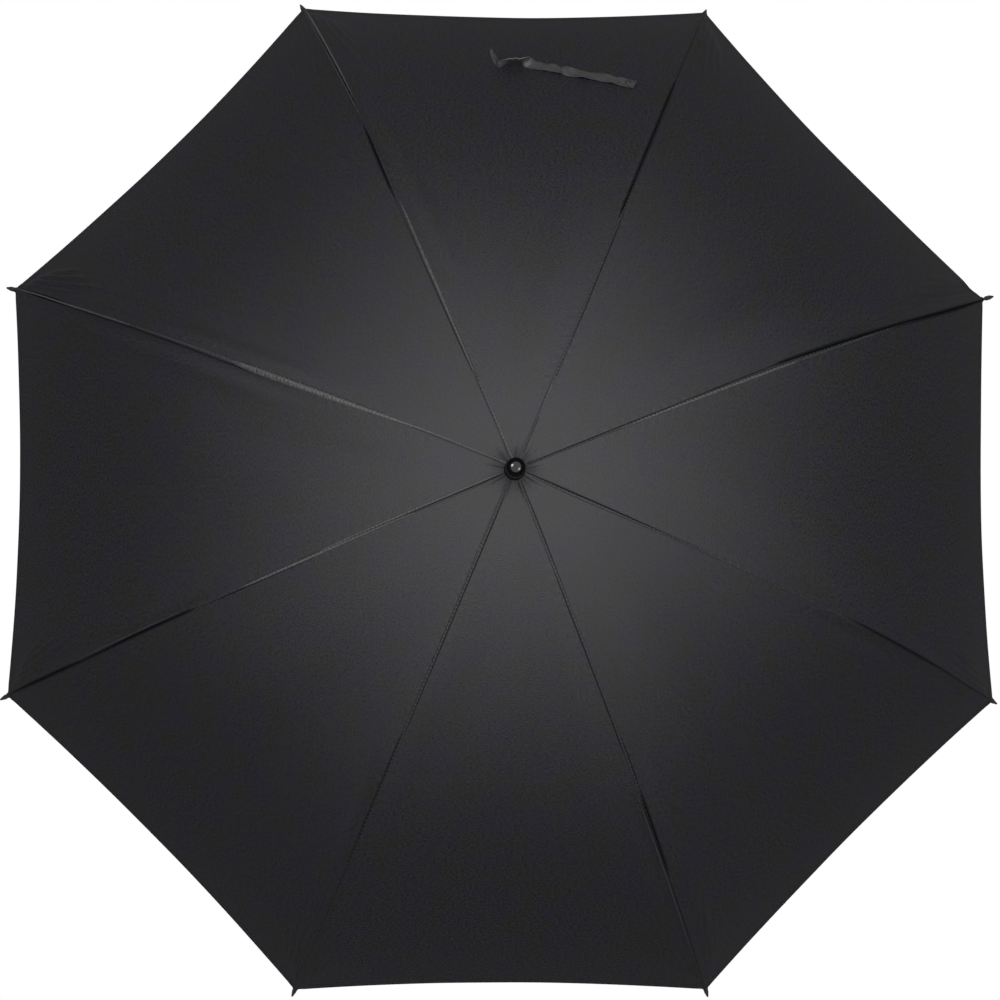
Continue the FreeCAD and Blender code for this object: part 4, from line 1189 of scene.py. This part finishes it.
def foam_finish():
    """Closed-cell foam: small pits, matte, slightly polished by the hand."""
    finish = Finish("eva_foam", Specular_IOR_Level=0.35)
    cells = finish.node("TexVoronoi", {"Vector": finish.place, "Scale": 900.0}, "Distance")
    patches = finish.noise(45.0, 4.0)
    return finish.dress(patches, ((0.030, 0.030, 0.031), (0.060, 0.060, 0.061)), (0.78, 0.95),
                        cells, 0.00025, 0.7)


def metal_finish(name, colour, roughness, wear=0.08):
    """Metal with smudges and very shallow scratches."""
    finish = Finish(name, Metallic=1.0)
    smudges = finish.noise(160.0, 5.0, 0.65)
    scratches = finish.noise(1900.0, 2.0)
    darker = tuple(0.8 * channel for channel in colour)
    return finish.dress(smudges, (darker, colour), (roughness, roughness + wear),
                        scratches, 0.00001, 0.25)


def painted_finish(name, colour, roughness):
    """Stoved black paint with orange peel and a few paler rub marks."""
    finish = Finish(name, Coat_Weight=0.25, Coat_Roughness=0.15)
    peel = finish.noise(420.0, 2.0)
    rubs = finish.math("POWER", finish.noise(35.0, 6.0, 0.7), 5.0)
    return finish.dress(rubs, (colour, (0.12, 0.12, 0.12)), (roughness, roughness + 0.2),
                        peel, 0.00008, 0.3)


def fibreglass_finish():
    """Black pultruded fibreglass with faint streaks."""
    finish = Finish("fibreglass", Specular_IOR_Level=0.5)
    streaks = finish.noise(600.0, 3.0, 0.7)
    return finish.dress(streaks, ((0.012, 0.012, 0.013), (0.035, 0.034, 0.033)), (0.22, 0.42),
                        streaks, 0.00003, 0.4)


# seam cloths, with copies painted lighter as highlights and darker as shade: material, darkest thread,
# lightest thread, roughness and gloss
SEAM_CLOTHS = {
    "seam": ("seam_cloth", (0.006, 0.0055, 0.0075), (0.024, 0.0235, 0.026), 0.44, 0.5),
    # painted highlights, where light catches the seam's folds: a faint one and a brighter one
    "faint_highlight": ("seam_cloth_faint_highlight", (0.017, 0.018, 0.021), (0.043, 0.045, 0.051), 0.42, 0.5),
    "highlight": ("seam_cloth_highlight", (0.035, 0.035, 0.036), (0.095, 0.095, 0.097), 0.40, 0.5),
    # painted shade: the darkest for creases beside folds and the hem's fold, the other softer
    "slot": ("deep_shade_cloth", (0.0010, 0.0018, 0.0023), (0.0034, 0.0054, 0.0064), 0.8, 0.05),
    "shade": ("shaded_cloth", (0.0025, 0.0031, 0.0039), (0.0085, 0.0096, 0.0110), 0.55, 0.24),
}


# ---- the frame's own pieces

EYE_REACH = 22.2             # from a wire ring to the end of an eye fitting's sleeve
CLIP_REACH = 18.6            # from the stretcher pin to the end of a clip's sleeve
FORK_REACH = 24.2
PIN_REACH = 2.4
PIN_OUTSIDE = 2.9            # beyond this distance across the rib, a pin's end shows


def dressed(node, materials):
    """The mesh of a frame piece, given these materials and no others."""
    mesh = frame["nodes"][node].data
    mesh.materials.clear()
    for material in materials:
        mesh.materials.append(material)
    return mesh


def paint_rib(node, rib, rules, materials):
    """Gives each face of a rib's frame piece the material of the last rule that its middle fits.

    A rule is a material's number, a place, how far it reaches, and how far out from the rib it starts.
    """
    mesh = dressed(node, materials)
    middles = np.empty(3 * len(mesh.polygons))
    mesh.polygons.foreach_get("center", middles)
    middles = unturned(middles.reshape(-1, 3) / MM, rib)
    index = np.zeros(len(mesh.polygons), int)
    for number, place, reach, outside in rules:
        distance = np.hypot(middles[:, 0] - place[0], middles[:, 2] - place[1])
        index[(distance < reach) & (abs(middles[:, 1]) > outside)] = number
    mesh.polygons.foreach_set("material_index", index)
    mesh.update()


def paint(nodes, material):
    """Gives whole frame pieces one material."""
    for node in nodes:
        dressed(node, [material])


def paint_frame(glass, fittings, bright, paint_black, moulded):
    """Materials of the frame pieces that keep their own shape."""
    runner = pivot("runner_hinge")
    tip_back = (TIP[0] - TIP_CAP_LENGTH / 2 * math.cos(OUTER.end_slope),
                TIP[1] + TIP_CAP_LENGTH / 2 * math.sin(OUTER.end_slope))
    crown = (1, CROWN, EYE_REACH, -1)
    clip = (1, STRETCHER_PIVOT, CLIP_REACH, -1)
    pin = (2, STRETCHER_PIVOT, PIN_REACH, PIN_OUTSIDE)
    cap = (2, tip_back, TIP_CAP_LENGTH / 2 + 0.5, -1)
    eye = (1, runner, EYE_REACH, -1)
    fork = (1, STRETCHER_PIVOT, FORK_REACH, -1)
    for rib in range(1, RIB_COUNT + 1):
        paint_rib(f"inner_rib_{rib}", rib, (crown, clip, pin), (glass, fittings, bright))
        paint_rib(f"outer_rib_{rib}", rib, (clip, cap), (glass, fittings, moulded))
        paint_rib(f"stretcher_{rib}", rib, (eye, fork), (paint_black, fittings))
    paint(["shaft_tube"], paint_black)
    paint(["crown_notch", "runner_body"], moulded)
    paint(["crown_wire", "runner_wire", "crown_pin", "runner_stop_pin", "catch_pins"], bright)
    paint(["crown_washer", "top_catch", "bottom_catch"], fittings)


# ---- camera, light and floor

# the camera's lengths are millimetres, and those of the lights and the floor metres
CAMERA_TILT = math.radians(-4.51)
CAMERA_LEAN = math.radians(2.13)
CAMERA_ROLL = math.radians(-0.20)
CAMERA_DISTANCE = 3880.0     # from the height of the rib tips
CAMERA_SHIFT = (-2.5, -4.9)
CAMERA_LENS = 115.3
CAMERA_SENSOR = 36.0
CAMERA_REACH = 60.0          # metres, out to the floor's far edge
SOFTBOX_PLACE = (0.2, 0.42, 5.6)
SOFTBOX_SIZE = 7.6
SOFTBOX_POWER = 388.0
SIDE_DISTANCE = 2.2
SIDE_SIZE = 1.3
SIDE_LIGHTS = ((150.0, 65.0, 4.6), (-27.0, 60.0, 2.4))   # azimuth, angle from overhead, power
SKY_LIGHT = 0.10
FLOOR_LIGHT = 0.15
FLOOR_REACH = 20.0
WHITE = 1.0


LIT_POINT = Vector((0, 0, CROWN[1] * MM))


def camera():
    """Straight above the crown, but for a slight tilt and lean."""
    tilt = Matrix.Rotation(CAMERA_TILT, 3, "X") @ Matrix.Rotation(CAMERA_LEAN, 3, "Y")
    turn = (Matrix.Rotation(CAMERA_ROLL, 3, "Z") @ tilt).transposed()
    place = turn @ Vector((*CAMERA_SHIFT, CAMERA_DISTANCE)) + Vector((0, 0, TIP[1]))
    data = bpy.data.cameras.new("camera")
    data.lens = CAMERA_LENS
    data.sensor_width = CAMERA_SENSOR
    data.clip_end = CAMERA_REACH
    view = in_scene(bpy.data.objects.new("camera", data))
    view.matrix_world = Matrix.Translation(place * MM) @ turn.to_4x4()
    bpy.context.scene.camera = view


def area_light(name, place, size, power):
    """A round soft light that faces the crown."""
    data = bpy.data.lights.new(name, "AREA")
    data.shape = "DISK"
    data.size = size
    data.energy = power
    light = in_scene(bpy.data.objects.new(name, data))
    light.location = place
    light.rotation_euler = (Vector(place) - LIT_POINT).to_track_quat("Z", "Y").to_euler()
    return light


def link_light(light, pieces, state):
    """Lights only some pieces, or everything but them, as a flag or a black card does in a studio."""
    linked = bpy.data.collections.new(light.name)
    light.light_linking.receiver_collection = linked
    for piece in pieces:
        linked.objects.link(piece)
    for entry in linked.collection_objects:
        entry.light_linking.link_state = state


def studio_lights(sleeve, stud):
    """A large softbox overhead, kept off the ferrule, and two at the sides that catch the ferrule's stud."""
    overhead = area_light("softbox", SOFTBOX_PLACE, SOFTBOX_SIZE, SOFTBOX_POWER)
    link_light(overhead, [sleeve, stud], "EXCLUDE")
    for number, (azimuth, angle, power) in enumerate(SIDE_LIGHTS, 1):
        turn, tilt = math.radians(azimuth), math.radians(angle)
        reach = Vector((math.cos(turn) * math.sin(tilt), math.sin(turn) * math.sin(tilt), math.cos(tilt)))
        place = LIT_POINT + SIDE_DISTANCE * reach
        side = area_light(f"side_softbox_{number}", place, SIDE_SIZE, power)
        link_light(side, [stud], "INCLUDE")


def camera_sees_white(tree, kind, output_kind, strength):
    """A node tree that lights the object with some strength and looks plain white to the camera."""
    tree.nodes.clear()
    output = tree.nodes.new(output_kind)
    path = tree.nodes.new("ShaderNodeLightPath")
    mix = tree.nodes.new("ShaderNodeMixShader")
    tree.links.new(path.outputs["Is Camera Ray"], mix.inputs[0])
    for number, power in enumerate((strength, WHITE), 1):
        node = tree.nodes.new(kind)
        node.inputs["Color"].default_value = (1, 1, 1, 1)
        node.inputs["Strength"].default_value = power
        tree.links.new(node.outputs[0], mix.inputs[number])
    tree.links.new(mix.outputs[0], output.inputs["Surface"])


def sky():
    """Faint light from all round."""
    world = bpy.data.worlds.new("studio")
    world.use_nodes = True
    camera_sees_white(world.node_tree, "ShaderNodeBackground", "ShaderNodeOutputWorld", SKY_LIGHT)
    bpy.context.scene.world = world


def floor():
    """A plain white floor under the end cap."""
    low = CAD_BOX[0][2]
    corners = [(x * FLOOR_REACH, y * FLOOR_REACH, low) for x, y in ((-1, -1), (1, -1), (1, 1), (-1, 1))]
    mesh = bpy.data.meshes.new("floor")
    mesh.from_pydata(corners, [], [(0, 1, 2, 3)])
    material = bpy.data.materials.new("floor_white")
    material.use_nodes = True
    camera_sees_white(material.node_tree, "ShaderNodeEmission", "ShaderNodeOutputMaterial", FLOOR_LIGHT)
    mesh.materials.append(material)
    in_scene(bpy.data.objects.new("floor", mesh))


# ---- the umbrella

def main():
    """Makes the stage, the finishes, then the pieces from the canopy down to the handle."""
    camera()
    sky()
    floor()
    bpy.context.scene.view_settings.view_transform = "Standard"

    cloth = cloth_finish("canopy_cloth", (0.0008, 0.0006, 0.0038), (0.0225, 0.0215, 0.0235), 0.441,
                         mottling=0.75)
    seam_finishes = {look: cloth_finish(*values) for look, values in SEAM_CLOTHS.items()}
    ribbon = cloth_finish("strap_cloth", (0.042, 0.042, 0.044), (0.066, 0.066, 0.068), 0.48)
    thread = thread_finish()
    glass = fibreglass_finish()
    bright = metal_finish("plated_steel", (0.60, 0.61, 0.63), 0.12)
    fittings = metal_finish("blackened_steel", (0.09, 0.09, 0.095), 0.35, 0.15)
    paint_black = painted_finish("black_paint", (0.014, 0.014, 0.015), 0.3)
    moulded = moulded_finish("moulded_plastic", (0.024, 0.024, 0.025), 0.42)
    gloss = moulded_finish("gloss_plastic", (0.004, 0.004, 0.004), 0.22, 0.0012)

    for rib in range(1, RIB_COUNT + 1):
        for part in ("inner", "outer"):
            for side in (-1, 1):
                # the panel's second cloth is painted shade for its hem's fold
                panel(rib, side, part, cloth, seam_finishes["slot"])
            seam(rib, part, seam_finishes)
            seam_stitches(rib, part, thread)
            rib_ties(rib, part, thread)
        for side in (-1, 1):
            hem_stitches(rib, side, thread)
        corner_lashing(rib, thread)

    centres, up = tie_strap(ribbon, seam_finishes["seam"], thread)
    strap_snap(centres, up, moulded)
    studio_lights(ferrule_sleeve(gloss), ferrule_stud(bright))
    handle(foam_finish(), moulded)
    paint_frame(glass, fittings, bright, paint_black, moulded)


main()
